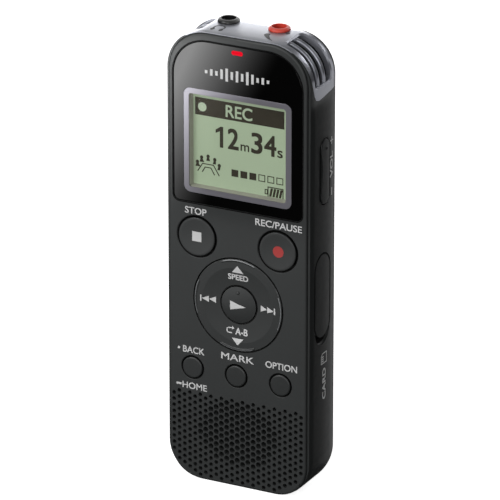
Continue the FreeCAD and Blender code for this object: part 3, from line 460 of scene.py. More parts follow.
class Finishes:
    """All finishes, by the part of the recorder that wears them."""

    PANEL = Finish("panel_satin_plastic", srgb("333535"), srgb("5a5c5c"), roughness=0.5, bump=0.10, wear=0.2,
                   specular=0.35)
    CASE = Finish("case_matt_plastic", srgb("2a2c2c"), srgb("5a5c5c"), roughness=0.46, bump=0.14, wear=0.2,
                  specular=0.4, crevice_reach=0.0013)
    KEY = Finish("key_satin_plastic", srgb("2e3030"), srgb("7c7e7e"), roughness=0.34, bump=0.05, wear=0.35,
                 wear_and_sheen_radius=0.00012)
    # On the trim the light edge colour is mostly a painted highlight on the edges and slot ribs, with some
    # wear
    TRIM = Finish("trim_silver_lacquer", srgb("9a9ca4"), srgb("e2e4ec"), roughness=0.33, spread=0.05,
                  grain=9000.0, bump=0.04, drift=0.06, wear=0.55, wear_and_sheen_radius=0.0003, metallic=0.7,
                  crevice=0.2)
    WINDOW = Finish("window_gloss_black", srgb("030303"), srgb("141516"), roughness=0.05, spread=0.02,
                    bump=0.002, drift=0.1, wear=0.1, dust=0.004, crevice=0.6)
    BEZEL = Finish("bezel_grey_lacquer", srgb("84828a"), srgb("a8a6ae"), roughness=0.36, spread=0.04,
                   grain=9000.0, bump=0.04, drift=0.06, wear=0.2, metallic=0.4)
    LENS = Finish("lens_clear", (0.02, 0.02, 0.02), (0.1, 0.1, 0.1), roughness=0.03, spread=0.01, bump=0.0,
                  wear=0.0, dust=0.0, alpha=0.03, crevice=0.0)
    LCD = Finish("lcd_ground", srgb("9bab90"), srgb("a9b99e"), roughness=0.35, spread=0.02, grain=3600.0,
                 bump=0.02, drift=0.05, wear=0.0, dust=0.0, glow=0.3, specular=0.2, crevice=0.0, cells=0.25)
    LCD_DARK = Finish("lcd_ink_dark", srgb("39342c"), srgb("6a6d5c"), roughness=0.5, spread=0.02,
                      grain=3600.0, bump=0.02, drift=0.12, wear=0.0, dust=0.0, specular=0.1, crevice=0.0,
                      cells=0.35)
    LCD_LIGHT = Finish("lcd_ink_light", srgb("a2b298"), srgb("8b9a80"), roughness=0.4, spread=0.02,
                       grain=3600.0, bump=0.02, drift=0.08, wear=0.0, dust=0.0, glow=0.25, crevice=0.0,
                       cells=0.3)
    # The liner's glow is painted light on the display's recess walls
    LINER = Finish("lcd_liner_painted_light", srgb("8e8f82"), srgb("9c9d90"), roughness=0.6, bump=0.05, drift=0.3,
                   drift_scale=300.0, wear=0.0, dust=0.0, crevice=0.0, glow=0.18)
    LED = Finish("led_red_lens", (0.62, 0.0, 0.012), (0.75, 0.02, 0.03), roughness=0.4, bump=0.02, wear=0.1,
                 dust=0.0, glow=0.55, specular=0.05, crevice=0.0)
    PRINT = Finish("print_pale_grey", srgb("d6d6d6"), srgb("a0a0a0"), roughness=0.55, spread=0.05,
                   grain=7000.0, bump=0.05, drift=0.15, drift_scale=900.0, wear=0.0, dust=0.0, crevice=0.0)
    # Painted shade: near-black sheets laid over gaps, hole mouths, the finger scoop and the window's edge
    PAINTED_GAP_SHADE = Finish("painted_gap_shade_black", srgb("050505"), srgb("101010"), roughness=0.8, bump=0.2, wear=0.0,
                       dust=0.0, specular=0.1, crevice=0.0)
    # Painted highlight: light grey arcs where the pad's raised rim catches light
    PAINTED_RIM_HIGHLIGHT = Finish("painted_rim_highlight", srgb("8c8e90"), srgb("b4b6b8"), roughness=0.35, bump=0.1, drift=0.5,
                       drift_scale=260.0, wear=0.0, dust=0.0, crevice=0.0)
    PRINT_DARK = Finish("print_dark_grey", srgb("1a1b1e"), srgb("2a2b2e"), roughness=0.5, spread=0.05,
                        grain=7000.0, bump=0.05, drift=0.2, drift_scale=900.0, wear=0.0, dust=0.0,
                        crevice=0.0)
    PRINT_RED = Finish("print_record_red", srgb("ae3b39"), srgb("c05a55"), roughness=0.4, spread=0.04,
                       grain=6000.0, bump=0.05, drift=0.15, drift_scale=600.0, wear=0.0, dust=0.0,
                       crevice=0.0)
    RED = Finish("collar_red_plastic", srgb("d0402f"), srgb("e8785f"), roughness=0.36, bump=0.05, drift=0.12,
                 wear=0.3, dust=0.01)
    BLACK = Finish("collar_black_plastic", srgb("101111"), srgb("3a3c3c"), roughness=0.3, bump=0.05,
                   wear=0.3, dust=0.01)
    MESH = Finish("mesh_dark_steel", srgb("3a3c40"), srgb("70747a"), roughness=0.42, bump=0.2, wear=0.2,
                  metallic=0.6)
    STEEL = Finish("plated_steel", srgb("b0b2b6"), srgb("dcdee2"), roughness=0.26, spread=0.1, grain=2600.0,
                   bump=0.06, drift=0.1, wear=0.3, metallic=1.0)
    BRASS = Finish("gold_contact", srgb("c9a14e"), srgb("e8cc86"), roughness=0.28, spread=0.08, grain=2600.0,
                   bump=0.05, drift=0.12, wear=0.3, metallic=1.0)
    SCREW = Finish("black_screw", srgb("1c1c1e"), srgb("8a8c90"), roughness=0.34, bump=0.08, wear=0.6,
                   metallic=0.8)
    INSIDE = Finish("inner_black_plastic", srgb("18191a"), srgb("3c3e3e"), roughness=0.6, bump=0.2, wear=0.2)
    RUBBER = Finish("silicone_rubber", srgb("3a3b3c"), srgb("5a5b5c"), roughness=0.7, bump=0.2, wear=0.1)
    CLOTH = Finish("acoustic_cloth", srgb("0a0a0a"), srgb("202020"), roughness=0.9, grain=1800.0, bump=0.6,
                   wear=0.0)
    BOARD = Finish("board_green_mask", srgb("14502c"), srgb("5f9a6c"), roughness=0.3, bump=0.08, drift=0.4,
                   wear=0.2, coat=0.2)
    CHIP = Finish("chip_epoxy", srgb("1a1a1c"), srgb("3c3c40"), roughness=0.5, bump=0.2, wear=0.2)
    PAPER = Finish("cone_paper", srgb("1c1b1a"), srgb("3a3836"), roughness=0.85, grain=1500.0, bump=0.5,
                   wear=0.0)
    CELL = Finish("cell_wrapper", srgb("2c3a52"), srgb("8a94a8"), roughness=0.28, bump=0.05, drift=0.2,
                  wear=0.25, coat=0.3)
    WHITE = Finish("white_plastic", srgb("d8d8d6"), srgb("ecece8"), roughness=0.4, bump=0.06, drift=0.06,
                   wear=0.1)


FINISH_NODES: tuple[tuple[Finish, str], ...] = (
    (Finishes.PANEL, "front_panel"),
    (Finishes.CASE, "case_body back_cover card_cover battery_lid"),
    (Finishes.TRIM, "top_trim"),
    (Finishes.WINDOW, "display_window"),
    (Finishes.BEZEL, "display_bezel"),
    (Finishes.LENS, "display_lens"),
    (Finishes.LCD, "lcd_panel"),
    (Finishes.WHITE, "lcd_backlight usb_insulator"),
    (Finishes.LED, "led_lens"),
    (Finishes.RUBBER, "keypad_sheet mic_boot_left mic_boot_right"),
    (Finishes.STEEL, "switch_domes speaker_magnet mic_capsule_left mic_capsule_right volume_pin "
                     "card_socket battery_lid_pin battery_contacts battery_springs usb_shell"),
    (Finishes.CLOTH, "speaker_cloth"),
    (Finishes.INSIDE, "speaker_frame headphone_jack_body mic_jack_body battery_tray usb_guide "
                      "pad_gimbal usb_carriage"),
    (Finishes.PAPER, "speaker_cone"),
    (Finishes.BLACK, "headphone_jack_collar"),
    (Finishes.RED, "mic_jack_collar"),
    (Finishes.BRASS, "jack_contacts usb_contacts"),
    (Finishes.MESH, "mic_mesh_left mic_mesh_right"),
    (Finishes.CHIP, "volume_switches hold_switch_body processor_chip memory_chip small_parts"),
    (Finishes.BOARD, "main_board"),
    (Finishes.CELL, "battery_cell_left battery_cell_right"),
    (Finishes.SCREW, "case_screws"),
    (Finishes.KEY, "stop_button record_button back_button mark_button option_button play_button "
                   "pad_ring volume_rocker hold_knob usb_slider"),
)
NODE_FINISHES = {node: finish for finish, nodes in FINISH_NODES for node in nodes.split()}


# ------------------------------------------------------------------ print and display marks
class Side(Enum):
    """Sides of the recorder that carry marks: drawing right, drawing up, and outward."""

    FRONT = ((1, 0, 0), (0, 0, 1), (0, -1, 0))
    TOP = ((1, 0, 0), (0, 1, 0), (0, 0, 1))
    RIGHT = ((0, 1, 0), (0, 0, 1), (1, 0, 0))

    @property
    def axes(self) -> tuple[Vector, Vector, Vector]:
        """Give the three directions as vectors."""
        return tuple(Vector(axis) for axis in self.value)


class Surfaces:
    """Ray-cast trees of the carried-over nodes, made when first asked for."""

    def __init__(self) -> None:
        """Start with no trees."""
        self.trees: dict[str, BVHTree] = {}

    def tree(self, node: str) -> BVHTree:
        """Give the ray-cast tree of a node.

        Args:
            node: The node's name.

        Returns:
            Its tree, in frame coordinates.
        """
        if node not in self.trees:
            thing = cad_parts[node]
            spots = [thing.matrix_world @ v.co for v in thing.data.vertices]
            faces = [tuple(f.vertices) for f in thing.data.polygons]
            self.trees[node] = BVHTree.FromPolygons(spots, faces)
        return self.trees[node]


@dataclass
class Marks:
    """Thin layer of ink on one side of a node, drawn in millimetres and laid on its surface."""

    name: str
    side: Side
    node: str
    body: str
    finish: Finish
    surfaces: Surfaces
    lift: float = 0.004
    thickness: float = 0.02
    reach: float = 60.0
    finest: float = 0.6
    layer_step: float = 0.002
    splits: int = 4
    shape: bmesh.types.BMesh = field(default_factory=bmesh.new)

    def area(self, points: Sequence[Point]) -> None:
        """Add a filled outline.

        Args:
            points: Corners in order.
        """
        self.shape.faces.new([self.shape.verts.new((x, y, 0.0)) for x, y in points])

    def band(self, outer: Sequence[Point], inner: Sequence[Point]) -> None:
        """Fill the strip between two outlines with the same number of points.

        Args:
            outer: Outer outline.
            inner: Inner outline.
        """
        rim = [self.shape.verts.new((x, y, 0.0)) for x, y in outer]
        core = [self.shape.verts.new((x, y, 0.0)) for x, y in inner]
        for i in range(len(rim)):
            j = (i + 1) % len(rim)
            self.shape.faces.new((rim[i], rim[j], core[j], core[i]))

    def box(self, x_range: Point, y_range: Point) -> None:
        """Add a filled rectangle."""
        (x0, x1), (y0, y1) = x_range, y_range
        self.area(((x0, y0), (x1, y0), (x1, y1), (x0, y1)))

    def frame_box(self, x_range: Point, y_range: Point, width: float) -> None:
        """Add a rectangle's outline.

        Args:
            x_range: Left and right.
            y_range: Bottom and top.
            width: Line width.
        """
        (x0, x1), (y0, y1), w = x_range, y_range, width
        self.band(((x0, y0), (x1, y0), (x1, y1), (x0, y1)),
                  ((x0 + w, y0 + w), (x1 - w, y0 + w), (x1 - w, y1 - w), (x0 + w, y1 - w)))

    def dot(self, centre: Point, radius: float, stretch: float = 1.0, steps: int = 28) -> None:
        """Add a filled disc or oval.

        Args:
            centre: Middle of the disc.
            radius: Half width.
            stretch: Height over width.
            steps: Number of corners.
        """
        turns = [math.tau * i / steps for i in range(steps)]
        self.area([(centre[0] + radius * math.cos(t), centre[1] + radius * stretch * math.sin(t))
                   for t in turns])

    def line(self, points: Sequence[Point], width: float) -> None:
        """Add an open line of about even width.

        Args:
            points: Points along the middle of the line.
            width: Line width.
        """
        spots = [Vector(point) for point in points]
        left, right = [], []
        for i, spot in enumerate(spots):
            before = spots[max(i - 1, 0)]
            after = spots[min(i + 1, len(spots) - 1)]
            run = (after - before).normalized()
            normal = Vector((-run.y, run.x)) * width / 2
            left.append(spot + normal)
            right.append(spot - normal)
        for i in range(len(spots) - 1):
            self.area([tuple(v) for v in (left[i], right[i], right[i + 1], left[i + 1])])

    def word(self, text: str, x_range: Point, y_range: Point, weight: float = 0.0,
             turned: bool = False) -> None:
        """Add lettering fitted to a box.

        Args:
            text: The letters.
            x_range: Left and right of the box.
            y_range: Bottom and top of the box.
            weight: Extra half width of the strokes, in millimetres.
            turned: Whether the letters run upwards, with their heads to the left.
        """
        curve = bpy.data.curves.new("lettering", "FONT")
        curve.body, curve.size, curve.resolution_u = text, 1.0, 6
        holder = bpy.data.objects.new("lettering", curve)
        bpy.context.scene.collection.objects.link(holder)
        bpy.context.view_layer.update()
        flat = bpy.data.meshes.new_from_object(holder.evaluated_get(bpy.context.evaluated_depsgraph_get()))
        bpy.data.objects.remove(holder)
        bpy.data.curves.remove(curve)
        xs = [v.co.x for v in flat.vertices]
        ys = [v.co.y for v in flat.vertices]
        (x0, x1), (y0, y1) = x_range, y_range
        for v in flat.vertices:
            along = (v.co.x - min(xs)) / (max(xs) - min(xs))
            rise = (v.co.y - min(ys)) / (max(ys) - min(ys))
            if turned:
                along, rise = 1 - rise, along
            v.co = (x0 + weight + along * (x1 - x0 - 2 * weight),
                    y0 + weight + rise * (y1 - y0 - 2 * weight), 0.0)
        shifts = ((-1, -1), (1, -1), (1, 1), (-1, 1)) if weight > 0 else ((0, 0),)
        for layer, (right, up) in enumerate(shifts):
            copy = flat.copy()
            copy.transform(Matrix.Translation((right * weight, up * weight, layer * self.layer_step)))
            self.shape.from_mesh(copy)
            bpy.data.meshes.remove(copy)
        bpy.data.meshes.remove(flat)

    def lay(self) -> None:
        """Drop every point onto the node and give the ink its thickness."""
        right, rise, out = self.side.axes
        tree = self.surfaces.tree(self.node)
        shape = self.shape
        shape.normal_update()
        bmesh.ops.triangulate(shape, faces=shape.faces[:])
        for _ in range(self.splits):
            long_edges = [e for e in shape.edges if e.calc_length() > self.finest]
            if not long_edges:
                break
            bmesh.ops.subdivide_edges(shape, edges=long_edges, cuts=1)
            bmesh.ops.triangulate(shape, faces=shape.faces[:])
        for v in shape.verts:
            start = (right * v.co.x + rise * v.co.y + out * self.reach) * MM
            spot = tree.ray_cast(start, -out)[0]
            if spot is None:
                spot = tree.find_nearest(start)[0]
            v.co = spot + out * (self.lift + v.co.z) * MM
        grown = bmesh.ops.extrude_face_region(shape, geom=shape.faces[:])
        moved = [item for item in grown["geom"] if isinstance(item, bmesh.types.BMVert)]
        bmesh.ops.translate(shape, verts=moved, vec=out * self.thickness * MM)
        bmesh.ops.recalc_face_normals(shape, faces=shape.faces[:])

    def build(self, shelf: EffectShelf) -> bpy.types.Object:
        """Make the ink's mesh object and let it ride its body.

        Args:
            shelf: The shared shader groups.

        Returns:
            The finished object.
        """
        self.lay()
        piece = make_piece(self.name, self.shape, self.finish.material(shelf))
        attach(piece, self.body)
        LOG.info("piece %s on %s rides %s", self.name, self.node, self.body)
        return piece


def rounded_outline(x_range: Point, y_range: Point, low_corner: float, high_corner: float,
                    steps: int = 12) -> list[Point]:
    """List the points of a rectangle with round corners, anticlockwise from the lower right.

    Args:
        x_range: Left and right.
        y_range: Bottom and top.
        low_corner: Radius of the two lower corners.
        high_corner: Radius of the two upper corners.
        steps: Points per corner.

    Returns:
        The outline's points.
    """
    (x0, x1), (y0, y1) = x_range, y_range
    corners = ((x1 - low_corner, y0 + low_corner, low_corner, 270),
               (x1 - high_corner, y1 - high_corner, high_corner, 0),
               (x0 + high_corner, y1 - high_corner, high_corner, 90),
               (x0 + low_corner, y0 + low_corner, low_corner, 180))
    points = []
    for x, y, radius, start in corners:
        for i in range(steps + 1):
            turn = math.radians(start + 90 * i / steps)
            points.append((x + radius * math.cos(turn), y + radius * math.sin(turn)))
    return points


@dataclass
class FrontLegends:
    """Pale words and signs on the front panel, the bars above the display, and a painted shadow line round the
    window.
    """

    surfaces: Surfaces
    finish: Finish = Finishes.PRINT
    window_corners: Point = (1.5, 8.8)
    line_range: Point = (0.17, 0.42)
    words: tuple[tuple[str, Point, Point], ...] = (
        ("STOP", (-13.96, -8.23), (68.35, 70.04)), ("REC/PAUSE", (4.73, 17.0), (68.5, 70.2)),
        ("BACK", (-14.7, -8.92), (32.6, 34.3)), ("HOME", (-14.86, -8.23), (23.3, 24.95)),
        ("MARK", (-4.38, 4.31), (32.8, 34.5)), ("OPTION", (7.46, 15.84), (32.75, 34.45)))
    weight: float = 0.03
    bar_start: Point = (-8.23, 104.55)
    bar_row: float = 16.2
    bar_reach: Point = (0.33, 1.6)
    wave: tuple[float, ...] = (0.25, 0.5, 0.35, 0.75, 1.0, 0.6, 0.85, 0.6, 1.0, 0.75, 0.35, 0.5, 0.25)

    def panel(self) -> Marks:
        """Draw the words printed on the panel, with the dot and dash before two of them.

        Returns:
            The panel's marks.
        """
        ink = Marks("panel_legends", Side.FRONT, "front_panel", "case", self.finish, self.surfaces)
        for text, x_range, y_range in self.words:
            ink.word(text, x_range, y_range, self.weight)
        ink.dot((-15.79, 33.5), 0.33)
        ink.box((-16.5, -15.15), (23.95, 24.45))
        return ink

    def bars(self) -> Marks:
        """Draw a plain row of sound-level bars above the display.

        Returns:
            The window's marks.
        """
        ink = Marks("window_level_bars", Side.FRONT, "display_window", "case", self.finish,
                    self.surfaces)
        pitch = self.bar_row / (len(self.wave) - 1)
        half_width, half_height = self.bar_reach
        start, middle = self.bar_start
        for i, share in enumerate(self.wave):
            x = start + i * pitch
            reach = half_height * share
            ink.box((x - half_width, x + half_width), (middle - reach, middle + reach))
        return ink

    def edge_line(self) -> Marks:
        """Draw the black painted shadow line that frames the window on the panel's rim.

        Returns:
            The line's marks.
        """
        ink = Marks("window_edge_painted_shadow", Side.FRONT, "front_panel", "case", Finishes.PAINTED_GAP_SHADE,
                    self.surfaces)
        low, high = (Vector(corner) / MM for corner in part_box("display_window"))
        outlines = []
        for grow in (self.line_range[1], self.line_range[0]):
            corners = (corner + grow for corner in self.window_corners)
            outlines.append(rounded_outline((low.x - grow, high.x + grow), (low.z - grow, high.z + grow),
                                            *corners))
        ink.band(*outlines)
        return ink

    def build(self, shelf: EffectShelf) -> None:
        """Build the three pieces."""
        for ink in (self.panel(), self.bars(), self.edge_line()):
            ink.build(shelf)


def circle(centre: Point, radius: float, steps: int = 48) -> list[Point]:
    """List the points of a circle, anticlockwise.

    Args:
        centre: The circle's centre.
        radius: Its radius.
        steps: How many points.

    Returns:
        The points.
    """
    turns = (math.tau * i / steps for i in range(steps))
    return [(centre[0] + radius * math.cos(turn), centre[1] + radius * math.sin(turn)) for turn in turns]


@dataclass
class GapShades:
    """Painted shade in the gaps and round the speaker's holes, and painted highlight arcs on the pad's rim."""

    surfaces: Surfaces
    key_holes: tuple[tuple[str, float, float], ...] = (
        ("stop_button", 5.04, 0.24), ("record_button", 5.04, 0.24), ("back_button", 2.89, 0.14),
        ("mark_button", 2.89, 0.14), ("option_button", 2.89, 0.14), ("pad_ring", 11.88, 0.14))
    play_hole: Point = (4.84, 0.16)
    side_gaps: tuple[tuple[str, float, float], ...] = (
        ("volume_rocker", 0.25, 0.4), ("card_cover", 0.19, 0.3))
    scoop_drop: float = 1.7
    scoop_steps: int = 12
    corner_slack: float = 0.01
    arc_starts: tuple[float, ...] = (66.0, 156.0, 246.0, 336.0)
    arc_span: float = 44.0
    arc_radius: float = 11.42
    arc_width: float = 0.14
    arc_steps: int = 10
    grille_corner: Point = (-17.17, 22.35)
    grille_pitch: Point = (1.422, 1.611)
    grille_grid: tuple[int, int] = (25, 14)
    grille_stagger: float = 0.78
    grille_radii: Point = (0.4, 0.56)
    grille_ring: float = 0.09
    grille_corners: int = 16
    grille_probe: Point = (-40.0, 33.0)
    grille_heart: tuple[float, float, float, float] = (0.0, 13.8, 10.3, 8.3)

    @staticmethod
    def middle(node: str, side: Side) -> Point:
        """Find a node's middle in a side's drawing directions.

        Args:
            node: The node's name.
            side: The side that is drawn on.

        Returns:
            Across and up, in millimetres.
        """
        low, high = (Vector(corner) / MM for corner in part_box(node))
        across, rise, _ = side.axes
        return across.dot(low + high) / 2, rise.dot(low + high) / 2

    def panel(self) -> Marks:
        """Paint shade round the key and pad holes of the front panel.

        Returns:
            The painted shade rings.
        """
        ink = Marks("key_gap_shades", Side.FRONT, "front_panel", "case", Finishes.PAINTED_GAP_SHADE, self.surfaces)
        for node, radius, width in self.key_holes:
            centre = self.middle(node, Side.FRONT)
            ink.band(circle(centre, radius + width), circle(centre, radius))
        return ink

    def grille(self) -> Marks:
        """Paint shade round the mouths of the speaker's holes, found where a probe misses the panel.

        Returns:
            The painted shade rings.
        """
        ink = Marks("grille_hole_shades", Side.FRONT, "front_panel", "case", Finishes.PAINTED_GAP_SHADE,
                    self.surfaces)
        tree = self.surfaces.tree("front_panel")
        inward = Vector((0, 1, 0))
        ahead, length = self.grille_probe
        heart_x, heart_z, reach_x, reach_z = self.grille_heart
        for column in range(self.grille_grid[0]):
            for row in range(self.grille_grid[1]):
                x = self.grille_corner[0] + column * self.grille_pitch[0]
                z = self.grille_corner[1] - row * self.grille_pitch[1]
                if column % 2 == 0:
                    z -= self.grille_stagger
                start = Vector((x, ahead, z)) * MM
                if tree.ray_cast(start, inward, length * MM)[0] is not None:
                    continue
                big = ((x - heart_x) / reach_x) ** 2 + ((z - heart_z) / reach_z) ** 2 < 1
                radius = self.grille_radii[big]
                ink.band(circle((x, z), radius + self.grille_ring, self.grille_corners),
                         circle((x, z), radius, self.grille_corners))
        return ink

    def play(self) -> Marks:
        """Paint shade round the play key's hole, riding the pad.

        Returns:
            The painted shade ring.
        """
        ink = Marks("play_gap_shade", Side.FRONT, "pad_ring", "pad", Finishes.PAINTED_GAP_SHADE, self.surfaces)
        centre = self.middle("pad_ring", Side.FRONT)
        ink.band(circle(centre, sum(self.play_hole)), circle(centre, self.play_hole[0]))
        return ink

    def glints(self) -> Marks:
        """Lay the four painted highlight arcs on the pad's rim, riding the pad.

        Returns:
            The arcs.
        """
        ink = Marks("pad_rim_painted_highlights", Side.FRONT, "pad_ring", "pad", Finishes.PAINTED_RIM_HIGHLIGHT, self.surfaces)
        x, z = self.middle("pad_ring", Side.FRONT)
        for start in self.arc_starts:
            turns = [math.radians(start + self.arc_span * i / self.arc_steps)
                     for i in range(self.arc_steps + 1)]
            ink.line([(x + self.arc_radius * math.cos(turn), z + self.arc_radius * math.sin(turn))
                      for turn in turns], self.arc_width)
        return ink

    def side(self) -> Marks:
        """Paint shade in the gaps round the rocker and the card cover, and in the finger scoop under the
        cover.

        Returns:
            The painted shade.
        """
        ink = Marks("side_gap_shades", Side.RIGHT, "case_body", "case", Finishes.PAINTED_GAP_SHADE, self.surfaces)
        for node, gap, width in self.side_gaps:
            low, high = (Vector(corner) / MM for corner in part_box(node))
            outlines = []
            for grow in (gap + width, gap):
                span = (low.y - grow, high.y + grow)
                corner = (span[1] - span[0]) / 2 - self.corner_slack
                outlines.append(rounded_outline(span, (low.z - grow, high.z + grow), corner, corner))
            ink.band(*outlines)
        low, high = (Vector(corner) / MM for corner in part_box("card_cover"))
        reach = (high.y - low.y) / 2
        middle = ((low.y + high.y) / 2, low.z + reach)
        turns = [math.pi * (1 + i / self.scoop_steps) for i in range(self.scoop_steps + 1)]
        for first, second in zip(turns, turns[1:]):
            ink.area([(middle[0] + reach * math.cos(turn), middle[1] - drop + reach * math.sin(turn))
                      for turn, drop in ((first, self.scoop_drop), (second, self.scoop_drop),
                                         (second, 0.0), (first, 0.0))])
        return ink

    def build(self, shelf: EffectShelf) -> None:
        """Build the painted shade and the painted highlight arcs."""
        for ink in (self.panel(), self.grille(), self.play(), self.side(), self.glints()):
            ink.build(shelf)


@dataclass
class KeyMarks:
    """Signs on the keys themselves, each riding its own key."""

    surfaces: Surfaces

    def stop(self) -> Marks:
        """Draw the stop square."""
        ink = Marks("stop_square", Side.FRONT, "stop_button", "stop_key", Finishes.PRINT, self.surfaces)
        ink.box((-12.1, -9.65), (61.5, 63.95))
        return ink

    def record(self) -> Marks:
        """Draw the record dot."""
        ink = Marks("record_dot", Side.FRONT, "record_button", "record_key", Finishes.PRINT_RED,
                    self.surfaces)
        ink.dot((10.75, 62.7), 1.42)
        return ink

    def play(self) -> Marks:
        """Draw the play triangle."""
        ink = Marks("play_triangle", Side.FRONT, "play_button", "play_key", Finishes.PRINT, self.surfaces)
        ink.area(((-1.92, 45.87), (2.25, 47.04), (-1.92, 48.18)))
        return ink

    def pad(self) -> Marks:
        """Draw the signs on the four-way pad."""
        ink = Marks("pad_signs", Side.FRONT, "pad_ring", "pad", Finishes.PRINT, self.surfaces)
        ink.area(((-1.51, 55.41), (1.54, 55.41), (0.0, 57.22)))
        ink.area(((-1.51, 38.66), (0.05, 36.98), (1.56, 38.66)))
        ink.word("SPEED", (-2.6, 2.75), (53.45, 54.95), 0.05)
        for turn, start in ((1, -9.96), (-1, 10.06)):
            ink.box(tuple(sorted((start, start + 0.36 * turn))), (46.62, 48.2))
            for k in (0.45, 2.25):
                tip = start + k * turn
                ink.area(((tip, 47.41), (tip + 1.8 * turn, 46.62), (tip + 1.8 * turn, 48.2)))
        ink.line(((-1.5, 39.85), (-2.55, 39.85), (-2.9, 40.15), (-2.9, 40.75), (-2.55, 41.05), (-1.5, 41.05)),
                 0.26)
        ink.area(((-1.6, 40.6), (-1.6, 41.5), (-0.95, 41.05)))
        ink.word("A-B", (-0.7, 2.6), (39.6, 41.3), 0.05)
        return ink

    def build(self, shelf: EffectShelf) -> None:
        """Build every key's marks."""
        for ink in (self.stop(), self.record(), self.play(), self.pad()):
            ink.build(shelf)


@dataclass
class DisplayPicture:
    """What the display shows, a bar, a time, a level row and two signs, and its recess's pale liner, whose
    glow is painted light.
    """

    surfaces: Surfaces
    level_start: float = -2.52
    level_pitch: float = 2.37
    level_side: float = 1.8
    liner_gap: float = 0.02
    liner_wall: float = 0.14
    liner_splay: float = 2.2

    def ink(self, name: str, finish: Finish, lift: float) -> Marks:
        """Open one layer on the display's face.

        Args:
            name: Name of the piece.
            finish: Its finish.
            lift: Height above the display, in millimetres.

        Returns:
            An empty layer.
        """
        return Marks(name, Side.FRONT, "lcd_panel", "case", finish, self.surfaces, lift=lift,
                     thickness=0.015, finest=4.0)

    def time(self, ink: Marks) -> None:
        """Draw the running time.

        Args:
            ink: The layer that is drawn on.
        """
        ink.area(((-5.6, 85.55), (-4.69, 85.55), (-4.69, 90.78), (-5.35, 90.78), (-6.7, 89.85), (-6.7, 89.0),
                  (-5.6, 89.55)))
        for digit, x_range in (("2", (-3.51, -0.6)), ("3", (2.68, 5.67)), ("4", (6.1, 9.3))):
            ink.word(digit, x_range, (85.55, 90.78), 0.13)
        ink.word("m", (-0.12, 2.17), (85.65, 87.3), 0.04)
        ink.word("s", (9.56, 10.98), (85.55, 87.44), 0.05)

    def levels(self, ink: Marks) -> None:
        """Draw the row of level squares, three filled and three open."""
        for i in range(6):
            x = self.level_start + i * self.level_pitch
            spans = (x, x + self.level_side), (78.85, 80.6)
            if i < 3:
                ink.box(*spans)
            else:
                ink.frame_box(*spans, 0.22)

    def battery(self, ink: Marks) -> None:
        """Draw the battery sign with its slanted charge bars."""
        ink.frame_box((7.0, 11.2), (75.15, 77.95), 0.26)
        ink.frame_box((6.25, 7.1), (75.9, 77.2), 0.24)
        for k in range(4):
            x = 7.4 + k * 0.85
            ink.area(((x, 75.5), (x + 0.62, 75.5), (x + 1.05, 77.6), (x + 0.43, 77.6)))

    def meeting(self, ink: Marks) -> None:
        """Draw the plain sign of people around a table."""
        for x, y in ((-11.55, 81.0), (-10.45, 82.25), (-8.72, 82.75), (-6.95, 82.2), (-5.75, 80.9)):
            ink.dot((x, y), 0.44, 1.1, 12)
            lean = (-8.7 - x) * 0.12
            ink.area(((x - 0.52, y - 1.15), (x + 0.52 + lean, y - 1.15), (x + 0.3, y - 0.35),
                      (x - 0.3, y - 0.35)))
        ink.line(((-11.5, 78.7), (-10.2, 80.75), (-7.3, 80.75), (-5.75, 78.3)), 0.28)
        ink.line(((-10.3, 78.6), (-9.5, 79.95), (-8.0, 79.95), (-7.0, 78.3)), 0.28)

    def build(self, shelf: EffectShelf) -> None:
        """Build the dark layer, the light layer above it and the liner.

        Args:
            shelf: The shared shader groups.
        """
        dark = self.ink("display_dark_segments", Finishes.LCD_DARK, 0.003)
        dark.box((-12.12, 11.39), (92.82, 97.2))
        self.time(dark)
        self.levels(dark)
        self.battery(dark)
        self.meeting(dark)
        dark.build(shelf)
        light = self.ink("display_light_segments", Finishes.LCD_LIGHT, 0.02)
        light.dot((-10.22, 94.91), 1.12)
        light.word("REC", (-4.03, 2.99), (93.41, 96.5), 0.06)
        light.build(shelf)
        self.liner(shelf)

    def liner(self, shelf: EffectShelf) -> None:
        """Line the display's recess with a thin pale frame, from the lens back to the display; its glow is
        painted light on the recess walls.

        Args:
            shelf: The shared shader groups.
        """
        low, high = (Vector(corner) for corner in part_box("display_lens"))
        front = low.y + self.liner_gap * MM
        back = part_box("lcd_panel")[0][1] - self.liner_gap * MM
        wall = self.liner_wall * MM
        shape = bmesh.new()
        rings = []
        for inset, y in ((0.0, front), (wall, front), (wall * self.liner_splay, back), (0.0, back)):
            rings.append([shape.verts.new(spot) for spot in (
                (low.x + inset, y, low.z + inset), (high.x - inset, y, low.z + inset),
                (high.x - inset, y, high.z - inset), (low.x + inset, y, high.z - inset))])
        for i, ring in enumerate(rings):
            following = rings[(i + 1) % len(rings)]
            for j in range(4):
                k = (j + 1) % 4
                shape.faces.new((ring[j], ring[k], following[k], following[j]))
        bmesh.ops.recalc_face_normals(shape, faces=shape.faces[:])
        piece = make_piece("display_recess_liner", shape, Finishes.LINER.material(shelf))
        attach(piece, "case")


